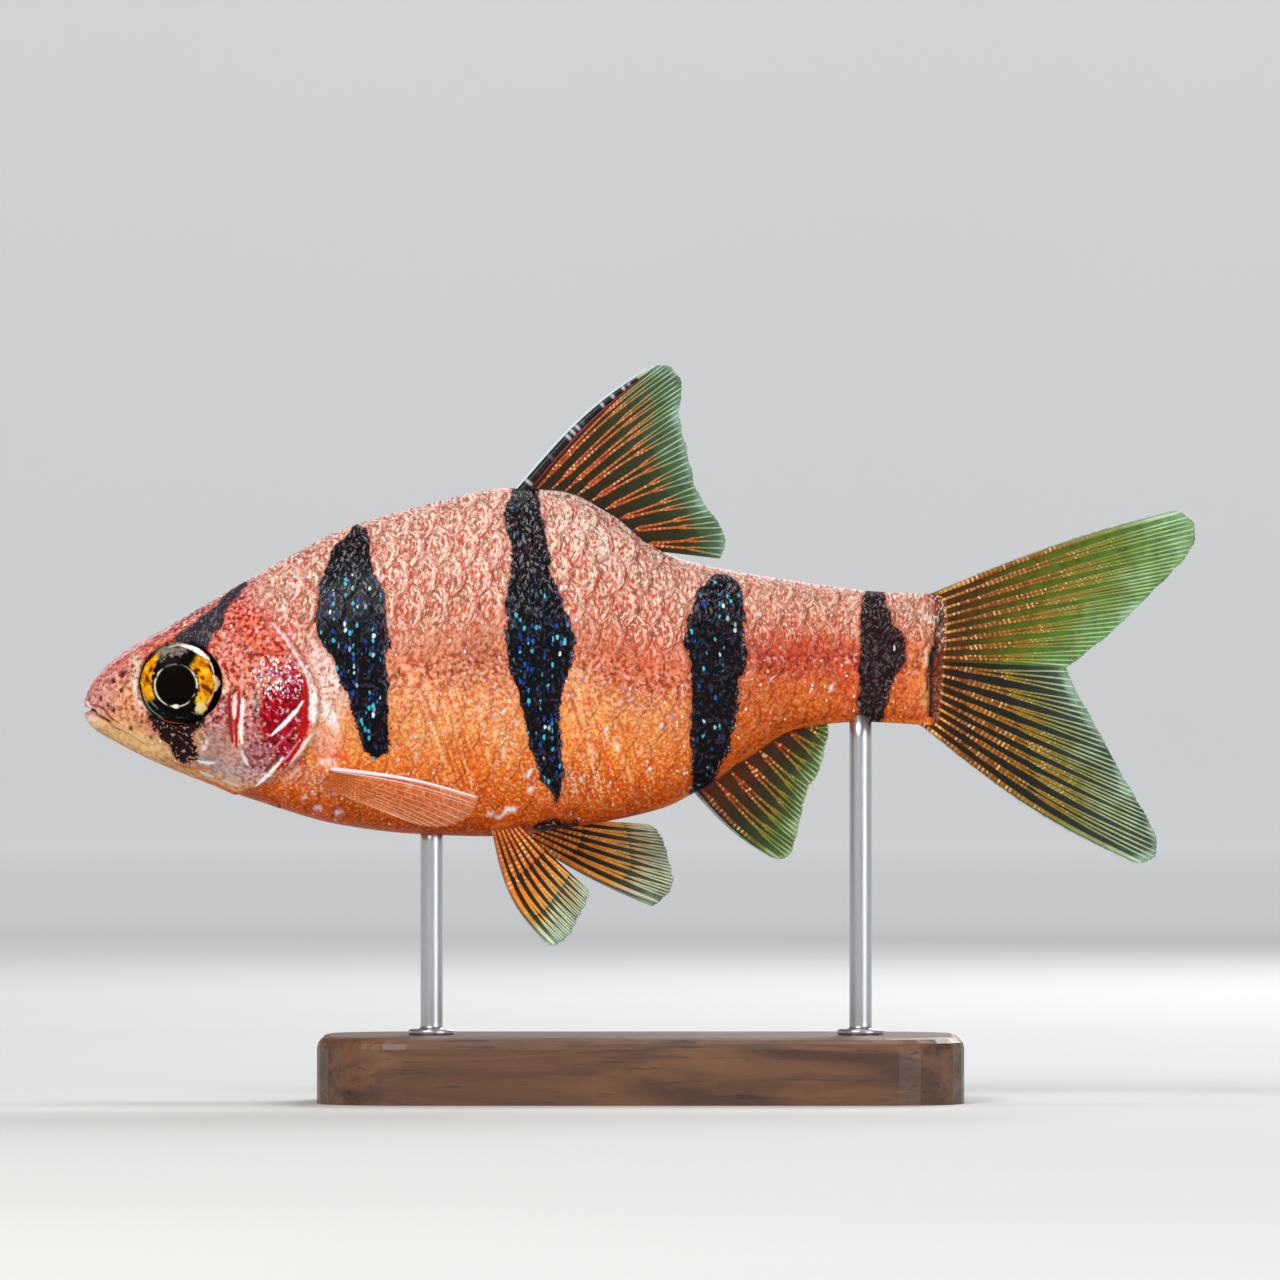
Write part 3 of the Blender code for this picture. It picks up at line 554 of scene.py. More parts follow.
# Soft patches: centre (s, z), radii, tilt in degrees, colour, strength, edge softness
PATCHES = [
    ((1.1, 18.4), (1.8, 1.0), 38, (206, 146, 144), 0.75, 0.6),
    ((2.1, 17.9), (1.1, 1.5), 35, (220, 150, 100), 0.7, 0.6),
    ((2.5, 18.9), (0.4, 1.5), 10, (244, 216, 188), 0.75, 0.5),
    ((2.2, 16.4), (2.2, 0.5), -26, (238, 194, 128), 0.85, 0.5),
    ((0.3, 17.1), (0.45, 0.3), -30, (236, 216, 196), 0.7, 0.5),
    ((4.2, 21.2), (1.1, 0.3), 30, (206, 118, 108), 0.7, 0.5),
    ((3.0, 16.9), (0.3, 0.8), 20, (206, 120, 100), 0.6, 0.5),
    ((6.2, 15.1), (1.7, 0.5), -22, (176, 150, 148), 0.9, 0.5),
    ((7.6, 15.0), (1.1, 0.5), -30, (180, 144, 142), 0.85, 0.5),
    ((6.1, 17.4), (0.7, 1.9), 8, (170, 98, 98), 0.85, 0.5),
    ((5.8, 16.2), (0.7, 1.0), 20, (160, 124, 116), 0.8, 0.8),
    ((6.8, 15.7), (0.8, 0.6), 0, (184, 136, 132), 0.85, 0.6),
    ((7.6, 16.7), (0.5, 1.3), 0, (172, 92, 100), 0.9, 0.5),
    ((6.35, 18.75), (0.22, 0.5), 0, (246, 212, 178), 0.85, 0.6),
    ((6.6, 19.6), (1.2, 1.3), -20, (216, 120, 100), 0.7, 0.6),
    ((8.2, 20.9), (1.8, 1.1), -35, (210, 76, 44), 0.6, 0.6),
    ((7.6, 17.6), (0.3, 1.1), 0, (196, 128, 130), 0.85, 0.5),
    ((9.05, 17.35), (1.28, 2.15), -4, (154, 2, 24), 1.0, 0.2),
    ((9.0, 15.8), (1.2, 0.75), -48, (150, 14, 40), 0.95, 0.35),
    ((7.95, 15.6), (0.9, 0.75), -40, (158, 96, 104), 0.9, 0.45),
    ((7.8, 17.85), (0.12, 0.75), 0, (120, 116, 98), 0.9, 0.4),
    ((9.0, 19.3), (1.1, 0.45), -20, (190, 52, 60), 0.8, 0.4),
    ((10.34, 17.9), (0.24, 1.05), 1, (255, 255, 252), 1.0, 0.3),
    ((10.8, 18.45), (0.15, 0.65), 0, (250, 246, 240), 0.9, 0.4),
    ((11.05, 17.4), (0.3, 0.95), 22, (255, 252, 246), 1.0, 0.35),
    ((10.9, 19.3), (0.8, 1.9), 30, (242, 214, 204), 0.8, 0.6),
    ((10.4, 22.0), (1.3, 1.3), 0, (214, 118, 88), 0.5, 0.6),
    ((11.4, 15.7), (0.8, 0.35), -20, (232, 88, 20), 0.85, 0.5),
    ((11.0, 15.25), (0.5, 0.14), -10, (250, 240, 230), 0.9, 0.5),
    ((9.9, 13.65), (0.16, 0.12), -20, (236, 228, 232), 0.9, 0.5),
    ((10.5, 13.2), (0.22, 0.1), -20, (214, 220, 240), 0.9, 0.5),
    ((11.4, 13.0), (0.24, 0.13), -10, (214, 222, 244), 0.95, 0.5),
    ((5.45, 16.0), (0.16, 0.34), -30, (226, 212, 210), 0.8, 0.6),
    ((10.2, 14.6), (1.3, 0.6), -15, (206, 124, 104), 0.7, 0.6),
    ((10.9, 16.3), (0.8, 0.9), 30, (226, 160, 146), 0.65, 0.6),
    ((14.2, 13.6), (3.6, 0.8), -8, (196, 86, 40), 0.6, 0.6),
    ((17.6, 19.4), (2.2, 1.7), -20, (178, 96, 68), 0.45, 0.8),
    ((22.6, 25.4), (2.2, 0.9), -28, (230, 190, 174), 0.8, 0.6),
    ((25.0, 20.0), (2.6, 2.2), 0, (212, 84, 44), 0.6, 0.8),
    ((31.8, 20.0), (3.0, 1.1), -3, (176, 44, 34), 0.65, 0.7),
    ((34.3, 18.8), (0.7, 1.2), 0, (216, 74, 32), 0.6, 0.6),
    ((37.35, 19.3), (0.45, 1.9), 0, (232, 116, 56), 0.75, 0.5),
    ((37.75, 18.3), (0.16, 0.8), 0, (240, 170, 100), 0.7, 0.8),
]
# Streaks: points of the side view, half width, colour, strength
STREAKS = [
    ([(6.84, 18.36), (6.8, 17.95), (6.79, 17.3)], 0.1, (250, 246, 246), 0.95),
    ([(7.18, 18.1), (7.12, 17.58), (7.07, 16.9), (7.12, 16.15)], 0.15, (255, 252, 248), 1.0),
    ([(7.14, 15.8), (7.22, 15.55), (7.35, 15.2)], 0.12, (240, 236, 230), 0.9),
    ([(9.87, 18.02), (9.49, 17.5), (8.97, 16.98), (8.45, 16.51)], 0.1, (255, 250, 248), 1.0),
    ([(8.97, 15.52), (8.54, 15.0), (8.15, 14.65), (7.76, 14.31)], 0.1, (250, 252, 246), 1.0),
    ([(10.65, 16.81), (10.18, 16.42), (9.75, 15.82), (9.27, 15.17)], 0.11, (255, 228, 212), 1.0),
    ([(9.8, 15.2), (9.4, 14.74), (8.9, 14.4)], 0.1, (246, 190, 166), 0.9),
    ([(9.66, 19.22), (9.96, 18.88), (10.05, 18.19), (9.98, 17.32), (9.87, 16.63), (9.57, 15.95),
      (9.23, 15.47), (8.71, 15.04)], 0.14, (186, 2, 14), 1.0),
    # Painted shadow: a dark line just above a raised white streak on the gill cover
    ([(9.3, 17.6), (8.9, 17.15), (8.5, 16.7)], 0.07, (72, 6, 34), 0.7),
    ([(8.88, 15.76), (8.5, 15.3), (8.1, 14.9)], 0.07, (96, 14, 30), 0.8),
    ([(6.6, 18.5), (6.58, 17.8), (6.62, 16.9), (6.7, 16.2)], 0.12, (150, 6, 26), 0.95),
    ([(6.99, 18.4), (6.96, 17.45), (6.86, 16.9), (6.88, 16.0)], 0.1, (190, 2, 24), 1.0),
    ([(7.1, 16.0), (7.3, 15.6), (7.6, 15.3)], 0.06, (120, 40, 50), 0.7),
    ([(8.5, 21.5), (9.3, 20.5), (9.95, 19.4), (10.22, 18.5)], 0.08, (238, 232, 240), 0.85),
    ([(8.7, 21.55), (9.5, 20.6), (10.15, 19.5), (10.42, 18.8)], 0.06, (150, 40, 50), 0.75),
    ([(8.9, 21.6), (9.7, 20.7), (10.35, 19.7)], 0.07, (255, 236, 224), 0.8),
    ([(9.15, 21.6), (9.95, 20.75), (10.6, 19.8), (10.85, 19.2)], 0.05, (184, 60, 50), 0.7),
    ([(9.6, 21.5), (10.3, 20.7), (10.95, 19.7)], 0.07, (252, 226, 210), 0.7),
    ([(11.3, 18.9), (11.45, 17.9), (11.7, 16.9)], 0.07, (250, 214, 190), 0.7),
    ([(9.7, 16.3), (9.3, 15.75), (8.9, 15.3)], 0.05, (206, 150, 160), 0.7),
    ([(9.5, 16.9), (9.2, 16.5), (8.7, 16.1)], 0.05, (214, 130, 140), 0.6),
    ([(11.0, 16.2), (10.5, 15.9), (10.0, 15.3)], 0.06, (150, 60, 60), 0.7),
    ([(0.45, 17.86), (0.85, 17.71), (1.17, 17.35), (1.49, 17.03), (1.8, 16.85)], 0.07, (120, 26, 24), 0.85),
    ([(1.0, 17.1), (1.29, 16.94), (1.7, 16.7)], 0.06, (120, 66, 36), 0.7),
    ([(0.16, 17.98), (0.34, 17.72), (0.55, 17.56)], 0.09, (252, 240, 228), 0.95),
    # Painted highlight: a pale line under the head's upper outline, standing in for rim light
    ([(0.2, 18.55), (0.5, 19.05), (1.25, 19.76), (2.4, 20.5), (4.0, 21.4)], 0.1, (246, 214, 212), 0.5),
    ([(1.6, 19.75), (2.6, 20.35), (3.9, 21.05)], 0.08, (196, 86, 86), 0.5),
    ([(5.1, 15.35), (5.5, 15.25), (5.85, 15.25)], 0.08, (226, 240, 236), 0.9),
    ([(3.9, 15.35), (4.6, 15.05), (5.8, 15.0)], 0.06, (196, 96, 44), 0.7),
    ([(5.2, 14.85), (5.8, 14.62)], 0.08, (214, 226, 226), 0.8),
    ([(6.2, 14.5), (7.0, 14.25)], 0.07, (230, 216, 218), 0.7),
    ([(5.0, 14.62), (6.2, 14.2), (7.4, 13.85)], 0.07, (206, 66, 56), 0.7),
    ([(3.0, 20.3), (3.6, 20.75), (4.3, 21.1)], 0.08, (226, 120, 90), 0.7),
    ([(38.5, 21.9), (38.3, 21.0), (38.12, 20.05), (38.06, 19.3), (38.02, 18.4), (38.05, 17.4)],
     0.22, (12, 3, 6), 1.0),
    ([(37.95, 20.6), (37.8, 20.0), (37.86, 19.5)], 0.1, (250, 214, 160), 0.8),
    ([(37.5, 22.2), (37.8, 21.8), (38.1, 21.5)], 0.09, (255, 244, 230), 0.8),
    ([(16.5, 18.1), (17.0, 16.3), (17.5, 14.8)], 0.06, (184, 30, 16), 0.8),
    ([(16.9, 18.0), (17.7, 17.8), (18.1, 16.2)], 0.05, (255, 222, 180), 0.7),
    ([(15.4, 17.7), (15.9, 16.2), (16.2, 15.2)], 0.05, (255, 216, 150), 0.7),
    ([(16.7, 16.8), (17.2, 15.6), (17.7, 14.5), (18.0, 13.8)], 0.05, (196, 44, 24), 0.7),
    ([(18.4, 16.7), (18.8, 15.8), (19.1, 15.0)], 0.06, (255, 226, 184), 0.8),
    ([(14.4, 17.2), (14.8, 16.0), (15.0, 15.2)], 0.05, (255, 210, 150), 0.6),
    ([(22.4, 16.9), (22.9, 15.8), (23.3, 14.9)], 0.05, (255, 200, 150), 0.6),
    ([(23.6, 16.6), (24.2, 15.4), (24.6, 14.5)], 0.06, (255, 206, 140), 0.7),
    ([(18.1, 13.0), (18.6, 12.85), (19.0, 13.0)], 0.08, (255, 236, 226), 0.9),
]
# Bright glints with red rims, low on the flank: place and radii
GLINTS = [
    ((20.0, 14.75), (0.09, 0.3)), ((20.1, 14.1), (0.12, 0.14)), ((21.35, 14.1), (0.08, 0.24)),
    ((20.95, 15.2), (0.09, 0.2)), ((25.4, 15.0), (0.16, 0.12)), ((23.4, 16.8), (0.1, 0.11)),
    ((24.4, 16.85), (0.12, 0.1)), ((23.1, 16.2), (0.09, 0.09)), ((24.0, 15.9), (0.08, 0.08)),
    ((25.9, 16.9), (0.1, 0.09)), ((22.3, 14.6), (0.09, 0.1)), ((19.4, 16.9), (0.08, 0.16)),
    ((19.2, 13.2), (0.3, 0.1)), ((18.9, 17.6), (0.08, 0.12)), ((14.7, 14.3), (0.1, 0.08)),
    ((30.9, 19.1), (0.09, 0.1)), ((33.6, 18.6), (0.1, 0.1)),
]
# Small dark specks of the snout: place and radius
SPECKS = [
    ((1.06, 17.85), 0.1), ((1.34, 17.6), 0.09), ((2.11, 16.79), 0.12), ((0.74, 18.12), 0.09),
    ((1.7, 18.5), 0.09), ((2.05, 18.2), 0.07), ((1.5, 17.05), 0.07), ((2.6, 17.1), 0.08),
    ((2.2, 19.6), 0.09), ((2.9, 17.5), 0.07), ((1.9, 19.3), 0.08), ((3.0, 16.4), 0.08),
]
# Bands: front edge and rear edge as (height, s), and the ink's colour. In order: over the eye, under
# it, the four on the body and the tail's stalk, and the small mark behind the pelvic fins' roots
BANDS = [
    ([(20.3, 4.4), (20.8, 4.1), (21.13, 4.35), (21.67, 5.0), (22.2, 5.75), (22.75, 6.3), (23.4, 7.1)],
     [(20.3, 5.5), (20.8, 5.75), (21.13, 5.93), (21.67, 6.26), (22.2, 6.5), (22.75, 6.92), (23.4, 7.35)],
     (46, 46, 56)),
    ([(15.2, 4.45), (15.5, 4.1), (15.9, 3.8), (16.3, 3.45), (16.9, 3.0), (18.2, 3.0)],
     [(15.2, 5.1), (15.5, 5.25), (15.9, 5.15), (16.3, 4.95), (16.8, 5.2), (17.2, 5.4), (18.2, 5.5)],
     (26, 8, 10)),
    ([(15.33, 13.05), (15.87, 12.6), (17.26, 12.15), (18.48, 11.7), (20.1, 11.07), (21.22, 10.4),
      (22.75, 10.53), (24.69, 11.16), (25.9, 12.1)],
     [(15.33, 13.1), (15.78, 13.64), (17.08, 13.73), (18.7, 13.64), (20.32, 13.68), (21.85, 13.59),
      (23.07, 13.37), (24.28, 12.92), (25.9, 12.75)], (7, 9, 14)),
    ([(13.62, 21.2), (15.06, 20.34), (16.63, 19.94), (18.16, 19.58), (19.56, 19.17), (21.09, 18.9),
      (23.25, 19.04), (25.14, 19.22), (26.08, 18.99), (28.5, 19.4)],
     [(13.62, 21.3), (14.2, 21.56), (15.33, 21.47), (17.04, 21.29), (18.79, 21.56), (20.05, 22.01),
      (21.09, 21.92), (22.66, 21.47), (24.37, 20.88), (25.99, 20.66), (28.5, 20.3)], (7, 8, 13)),
    ([(13.3, 27.45), (14.2, 27.23), (17.04, 27.23), (19.2, 27.18), (21.36, 27.09), (22.84, 27.5),
      (23.8, 28.4)],
     [(13.3, 28.2), (15.06, 28.53), (15.78, 28.98), (17.04, 29.16), (18.79, 29.48), (20.5, 29.75),
      (21.81, 29.7), (23.25, 29.39), (23.8, 28.7)], (12, 9, 12)),
    ([(16.8, 34.85), (17.3, 34.78), (18.5, 34.68), (20.3, 34.75), (22.66, 35.0), (23.1, 35.2)],
     [(16.8, 35.85), (17.3, 36.0), (18.2, 36.15), (18.97, 36.45), (19.96, 36.95), (20.77, 36.9),
      (21.67, 36.36), (22.66, 36.0), (23.1, 35.9)], (34, 14, 14)),
    ([(11.9, 20.6), (12.4, 20.2), (12.8, 21.0)], [(11.9, 22.2), (12.5, 22.2), (12.8, 21.9)], (10, 8, 10)),
]
# How thickly each band is set with blue flecks, and the heights between which they end and the
# silver strokes begin
BAND_FLECKS = [0.0, 0.0, 0.25, 0.26, 0.12, 0.02, 0.0]
FLECKS_FADE = (22.2, 24.6)
STROKES_RISE = (20.6, 23.4)
# Centre and radii of the white flecks on the gill cover
OPERCLE_FLECKS = ((8.85, 19.1), (1.35, 1.05))
# The shares that steer the skin's and the scales' fine patterns
SHARES = ("edge", "net", "streak", "fleck", "mottle", "silver", "ribs")


def colours_down(table, level):
    levels = [row[0] for row in table]
    colours = np.array([rgb(*row[1]) for row in table])
    return np.stack([np.interp(level, levels, channel) for channel in colours.T], -1)


def patched(colour, s, z, fine, crumbled):
    """The soft patches over the ground colour."""
    for (cs, cz), (rs, rz), tilt, tint, strength, soft in PATCHES:
        turn = math.radians(tilt)
        ds, dz = s - cs, z - cz
        across = (ds * math.cos(turn) + dz * math.sin(turn)) / rs
        down = (-ds * math.sin(turn) + dz * math.cos(turn)) / rz
        off = np.hypot(across, down) + 0.14 * fine + 0.1 * crumbled
        colour = tinted(colour, tint, strength * (1 - ease(1 - soft, 1 + soft * 0.4, off)))
    return colour


def lined(colour, s, z, fine, crumbled):
    """The streaks, glints and specks over a colour, and how strongly each point is marked by them."""
    marked = np.zeros(s.shape)
    for path, (_, half, tint, strength) in zip(streak_paths, STREAKS):
        off, share = path.nearest(s, z, 0.5)
        wide = half * (0.45 + 0.55 * np.sin(np.pi * np.clip(share, 0.03, 0.97)))
        mask = strength * (1 - ease(0.55, 1.25, off / (wide * (1 + 0.35 * crumbled))))
        colour = tinted(colour, tint, mask)
        marked = np.maximum(marked, mask)
    for (cs, cz), (rs, rz) in GLINTS:
        off = np.hypot((s - cs) / rs, (z - cz) / rz) + 0.25 * crumbled
        colour = tinted(colour, (190, 40, 24), 0.7 * (1 - ease(1.1, 1.7, off)))
        colour = tinted(colour, (255, 250, 244), 1 - ease(0.75, 1.05, off))
        marked = np.maximum(marked, 1 - ease(1.0, 1.5, off))
    # The nostrils are darkened along with the specks: painted shade in their pits.
    for (cs, cz), radius in SPECKS + NOSTRILS:
        off = np.hypot(s - cs, 0.75 * (z - cz)) / radius
        colour = tinted(colour, (84, 22, 16), 0.85 * (1 - ease(0.6, 1.2, off + 0.2 * crumbled)))
    end = ease(-0.1, 0.15, s - 38.15 + 0.1 * fine) * (1 - marked)
    return tinted(colour, (78, 22, 14), 0.9 * end), marked


def banded(points, shift):
    """The bands' ink, the distance inside their edges, and how thick their flecks are."""
    s, z = points[..., 0], points[..., 2]
    ink = np.broadcast_to(rgb(0, 0, 0), (*s.shape, 3))
    edge, fleck = np.full(s.shape, -1.0), np.zeros(s.shape)
    for (front, rear, tint), flecks in zip(BANDS, BAND_FLECKS):
        inside = np.minimum(s - Line(front)(z), Line(rear)(z) - s)
        low, high = front[0][0], min(front[-1][0], rear[-1][0])
        inside = np.minimum(inside, np.minimum(z - low, high - z))
        closer = inside > edge
        ink = np.where(closer[..., None], rgb(*tint), ink)
        fleck = np.where(closer, flecks, fleck)
        edge = np.maximum(edge, inside)
    edge = edge + shift + 0.1 * noise(points, 0.55, 6)
    return ink, edge, fleck * (1 - ease(*FLECKS_FADE, z)) * ease(0.05, 0.35, edge)


def markings(points, shift=0.0):
    """Colour without the bands, the bands' ink, and the shares that steer the fine patterns.

    The share called edge is the distance in mm inside a band's edge; shift moves that edge.
    """
    s, z = points[..., 0], points[..., 2]
    level = np.clip(level_at(s, z), -1, 1)
    wander, fine, crumbled = noise(points, 1.6, 1), noise(points, 0.5, 2), noise(points, 0.16, 5)
    near_head = 1 - ease(-1.3, 0.7, s + 0.4 * wander - gill_edge(z))
    near_stalk = ease(25.0, 31.0, s + 1.5 * wander)
    colour = colours_down(TRUNK_COLOURS, level + 0.08 * wander)
    colour = blend(colour, colours_down(STALK_COLOURS, level), near_stalk[..., None])
    colour = blend(colour, colours_down(HEAD_COLOURS, level), near_head[..., None])
    colour = patched(colour, s, z, fine, crumbled)
    # Painted highlight: a pale line along the back's ridge stands in for rim light.
    colour = tinted(colour, (242, 222, 226), 0.6 * ease(0.96, 1.0, level) * (s < 37.5))
    colour = tinted(colour, (250, 126, 16), 0.6 * ease(0.9, 1.0, -level) * ease(24.0, 28.0, s))
    patchy = 0.12 * noise(points, 0.9, 3) + 0.1 * noise(points, 0.3, 4)
    colour, marked = lined(colour * (1 + patchy)[..., None], s, z, fine, crumbled)
    # The mouth's slit is painted dark: painted shade inside the nearly closed mouth.
    mouth_off, _ = mouth_line.nearest(s, z)
    inner = (1 - ease(0.03, MOUTH_HALF_OPEN, mouth_off)) * (s < 1.1)
    colour = tinted(colour, (84, 30, 26), 0.85 * inner)

    ink, edge, fleck = banded(points, shift)
    clear = (1 - ease(-0.1, 0.1, edge)) * (1 - 0.9 * marked)
    net = clear * ease(0.0, 0.4, level) * (1 - near_head) * blend(1.0, 0.75, near_stalk)
    net = np.maximum(net, 0.1 * clear * near_stalk)
    streak = clear * (1 - ease(-0.25, 0.05, level)) * (1 - near_head) * (1 - 0.6 * near_stalk)
    streak = streak * (1 - 0.6 * ease(0.72, 0.95, -level))
    ribs = np.maximum(bell(s - 16.6, 2.2), bell(s - 23.2, 2.0)) * ease(12.6, 14.0, z)
    (cs, cz), (rs, rz) = OPERCLE_FLECKS
    gill = 1 - ease(0.6, 1.2, np.hypot((s - cs) / rs, (z - cz) / rz) + 0.2 * fine)
    # Painted highlights: white sparkles, thin over the flank, thicker low on it and round the bands' edges;
    # outside the bands they join the fleck share.
    painted_sparkle = 0.012 * ease(-0.3, 0.2, wander) + 0.05 * streak * ease(0.0, 0.5, wander)
    painted_sparkle = painted_sparkle + 0.04 * bell(edge + 0.25, 0.2)
    fleck = np.maximum(fleck, np.maximum(0.6 * gill, clear * painted_sparkle * (s > 3.0)) * (1 - marked))
    mottle = np.maximum(blend(0.6, 1.0, near_head), bell(level + 0.1, 0.3))
    mottle = mottle * (1 - 0.85 * marked) * (1 - 0.3 * net)
    mottle = mottle * blend(0.65, 1.0, ease(1.0, 4.5, s)) * (1 - 0.5 * ease(38.2, 38.6, s))
    mottle = mottle * (1 - 0.6 * ease(0.25, 0.6, -level) * (1 - ease(6.5, 8.5, s)))
    silver = ease(*STROKES_RISE, z) * (s > 9.0) + 0.4 * (s > 30.0) + 0.6 * (s < 9.0) * (z > 20.0)
    shares = (np.clip(edge, -1, 1), net, streak, fleck, mottle, np.clip(silver, 0, 1), streak * ribs)
    return {"paint": np.clip(colour, 0, 1), "ink": ink, **dict(zip(SHARES, shares))}


def painted(points):
    """The colour with the bands in it, for the feet of the fins."""
    marks = markings(points)
    return blend(marks["paint"], marks["ink"], ease(-0.05, 0.05, marks["edge"])[..., None])


mouth_line = Path(MOUTH_LINE)
streak_paths = [Path(line) for line, *_ in STREAKS]


def skin_relief(points):
    """How far the skin stands out from the bare body: gill flap, lips, sockets, grooves."""
    s, z = points[..., 0], points[..., 2]
    flank = np.minimum(np.abs(points[..., 1]) / FLANK_FADE, 1.0)
    behind = s - gill_edge(z)
    on_cover = 1 - ease(-0.05, 0.05, behind)
    has_flap = 1 - ease(*FLAP_TOP, z)
    flare = FLAP_RISE * bell(behind, FLAP_REACH) * has_flap * on_cover
    dip = (SHOULDER_DIP * bell(behind, FLAP_REACH) * has_flap + COAT_DEPTH) * (1 - on_cover)
    swell = COVER_BULGE * bell(np.hypot(s - COVER_CENTRE[0], z - COVER_CENTRE[1]), COVER_RADIUS)
    rise = (flare - dip + swell * on_cover) * flank

    off, share = cheek_groove.nearest(s, z)
    fade = np.sin(np.pi * np.clip(share, 0.04, 0.96))
    depth, reach = GROOVE
    height, aside, ridge = GROOVE_RIDGE
    rise = rise - depth * bell(off, reach) * fade + height * bell(off - aside, ridge) * fade
    for path, (_, half, _, strength) in zip(streak_paths[1:5], STREAKS[1:5]):
        off, share = path.nearest(s, z)
        rise = rise + STREAK_RISE * strength * bell(off, half) * np.sin(np.pi * np.clip(share, 0, 1))

    off, share = mouth_line.nearest(s, z)
    front = 1 - ease(0.55, 1.0, share)
    cleft = bell(off, MOUTH_HALF_OPEN * blend(0.45, 1.0, front))
    rise = rise - MOUTH_DEPTH * cleft * blend(0.3, 1.0, front) * (1 - ease(0.93, 1.0, share))
    lips = LIP_RISE * bell(off - LIP_APART, LIP_REACH) * (1 - ease(0.8, 1.0, share))
    rise = rise + lips * blend(0.5, 1.0, front)
    height, reach = NOSTRIL_RIM
    for (cs, cz), radius in NOSTRILS:
        off = np.hypot(s - cs, z - cz)
        rise = rise - NOSTRIL_DEPTH * (1 - ease(0.4, 1.15, off / radius))
        rise = rise + height * bell(off - radius * 1.5, reach)

    off = np.hypot(s - EYE_CENTRE[0], z - EYE_CENTRE[1]) - EYE_RADIUS
    socket = 1 - ease(-0.1, 0.05, off)
    height, aside, reach = SOCKET_RIM
    rise = rise + height * bell(off - aside, reach) * (1 - socket) - SOCKET_DEPTH * socket
    fine = sum(height * noise(points, size, seed) for height, size, seed in SKIN_GRAIN)
    return rise + fine * on_cover


def skin_rings():
    snout = SNOUT_END * (np.arange(1, SNOUT_RINGS) / SNOUT_RINGS) ** 2
    head = np.arange(SNOUT_END, HEAD_END, HEAD_RING_STEP)
    body = np.arange(HEAD_END, SKIN_END, BODY_RING_STEP)
    return np.concatenate([snout, head, body, [SKIN_END]])


def unwrapped(s, turn):
    """A point's place on the unwrapped skin: along the body, and round it from the belly."""
    return np.stack([0.02 + 0.96 * s / SKIN_END, 0.5 + 0.48 * turn / np.pi], -1)


def grid_corners(rows, columns):
    """Row and column numbers of the corners of a grid's faces."""
    i, j = np.meshgrid(np.arange(rows), np.arange(columns), indexing="ij")
    i, j = i.ravel(), j.ravel()
    return np.stack([i, i + 1, i + 1, i], 1), np.stack([j, j, j + 1, j + 1], 1)


def ring_faces(rings, sides):
    """Faces between closed rings of points that follow one another."""
    row, column = grid_corners(rings - 1, sides)
    return row * sides + column % sides


def end_faces(middle, first, sides):
    """Triangles from a middle point to the ring of points that starts at first."""
    j = np.arange(sides)
    return np.stack([middle + 0 * j, first + j, first + (j + 1) % sides], 1)


def sheet_faces(rows, columns):
    """Faces of a closed sheet: a grid of points, the same grid under it, and walls between their rims."""
    row, column = grid_corners(rows - 1, columns - 1)
    plate, under = row * columns + column, rows * columns
    grid = np.arange(under).reshape(rows, columns)
    rim = np.concatenate([grid[0], grid[1:, -1], grid[-1, -2::-1], grid[-2:0:-1, 0]])
    walls = np.stack([rim, np.roll(rim, -1), under + np.roll(rim, -1), under + rim], 1)
    return np.concatenate([plate, under + plate[:, ::-1], walls])


def make_skin(finish):
    rings = skin_rings()
    count = len(rings)
    step = 2 * np.pi / SKIN_SIDES
    s, turns = np.meshgrid(rings, -np.pi + step * np.arange(SKIN_SIDES), indexing="ij")
    bare = body_point(s, turns)
    relief = skin_relief(bare)[..., None]
    points = bare + normals(body_point, s, turns) * relief
    points[..., 0] = np.maximum(points[..., 0], 0.0)
    tip = [[MOUTH_DEPTH * 0.8, 0.0, back(0.0)]]
    end = [[SKIN_END, 0.0, (back(SKIN_END) + belly(SKIN_END)) / 2]]
    points = np.concatenate([tip, points.reshape(-1, 3), end])

    body = 1 + ring_faces(count, SKIN_SIDES)
    front = end_faces(0, 1, SKIN_SIDES)
    turned = [0, 2, 1]
    rear = end_faces(len(points) - 1, 1 + (count - 1) * SKIN_SIDES, SKIN_SIDES)[:, turned]
    row, column = grid_corners(count - 1, SKIN_SIDES)
    j = np.arange(SKIN_SIDES)
    forward = np.stack([j + 0.5, j, j + 1], 1)
    corner_s = [rings[row].ravel(), np.tile([0.0, rings[0], rings[0]], SKIN_SIDES)]
    corner_s.append(np.full(3 * SKIN_SIDES, SKIN_END))
    columns = [column.ravel(), forward.ravel(), forward[:, turned].ravel()]
    uv = unwrapped(np.concatenate(corner_s), -np.pi + step * np.concatenate(columns))

    def with_ends(values):
        rows = values.reshape(count * SKIN_SIDES, -1)
        rows = np.concatenate([rows[:1], rows, rows[-1:]])
        return rows if values.ndim == 3 else rows[:, 0]

    skin = piece(
        "barb_skin", points, [body, front, rear], [finish],
        attributes={key: with_ends(values) for key, values in markings(bare).items()},
        maps={"OFBake": uv},
    )
    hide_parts("head", "torso", "tail")


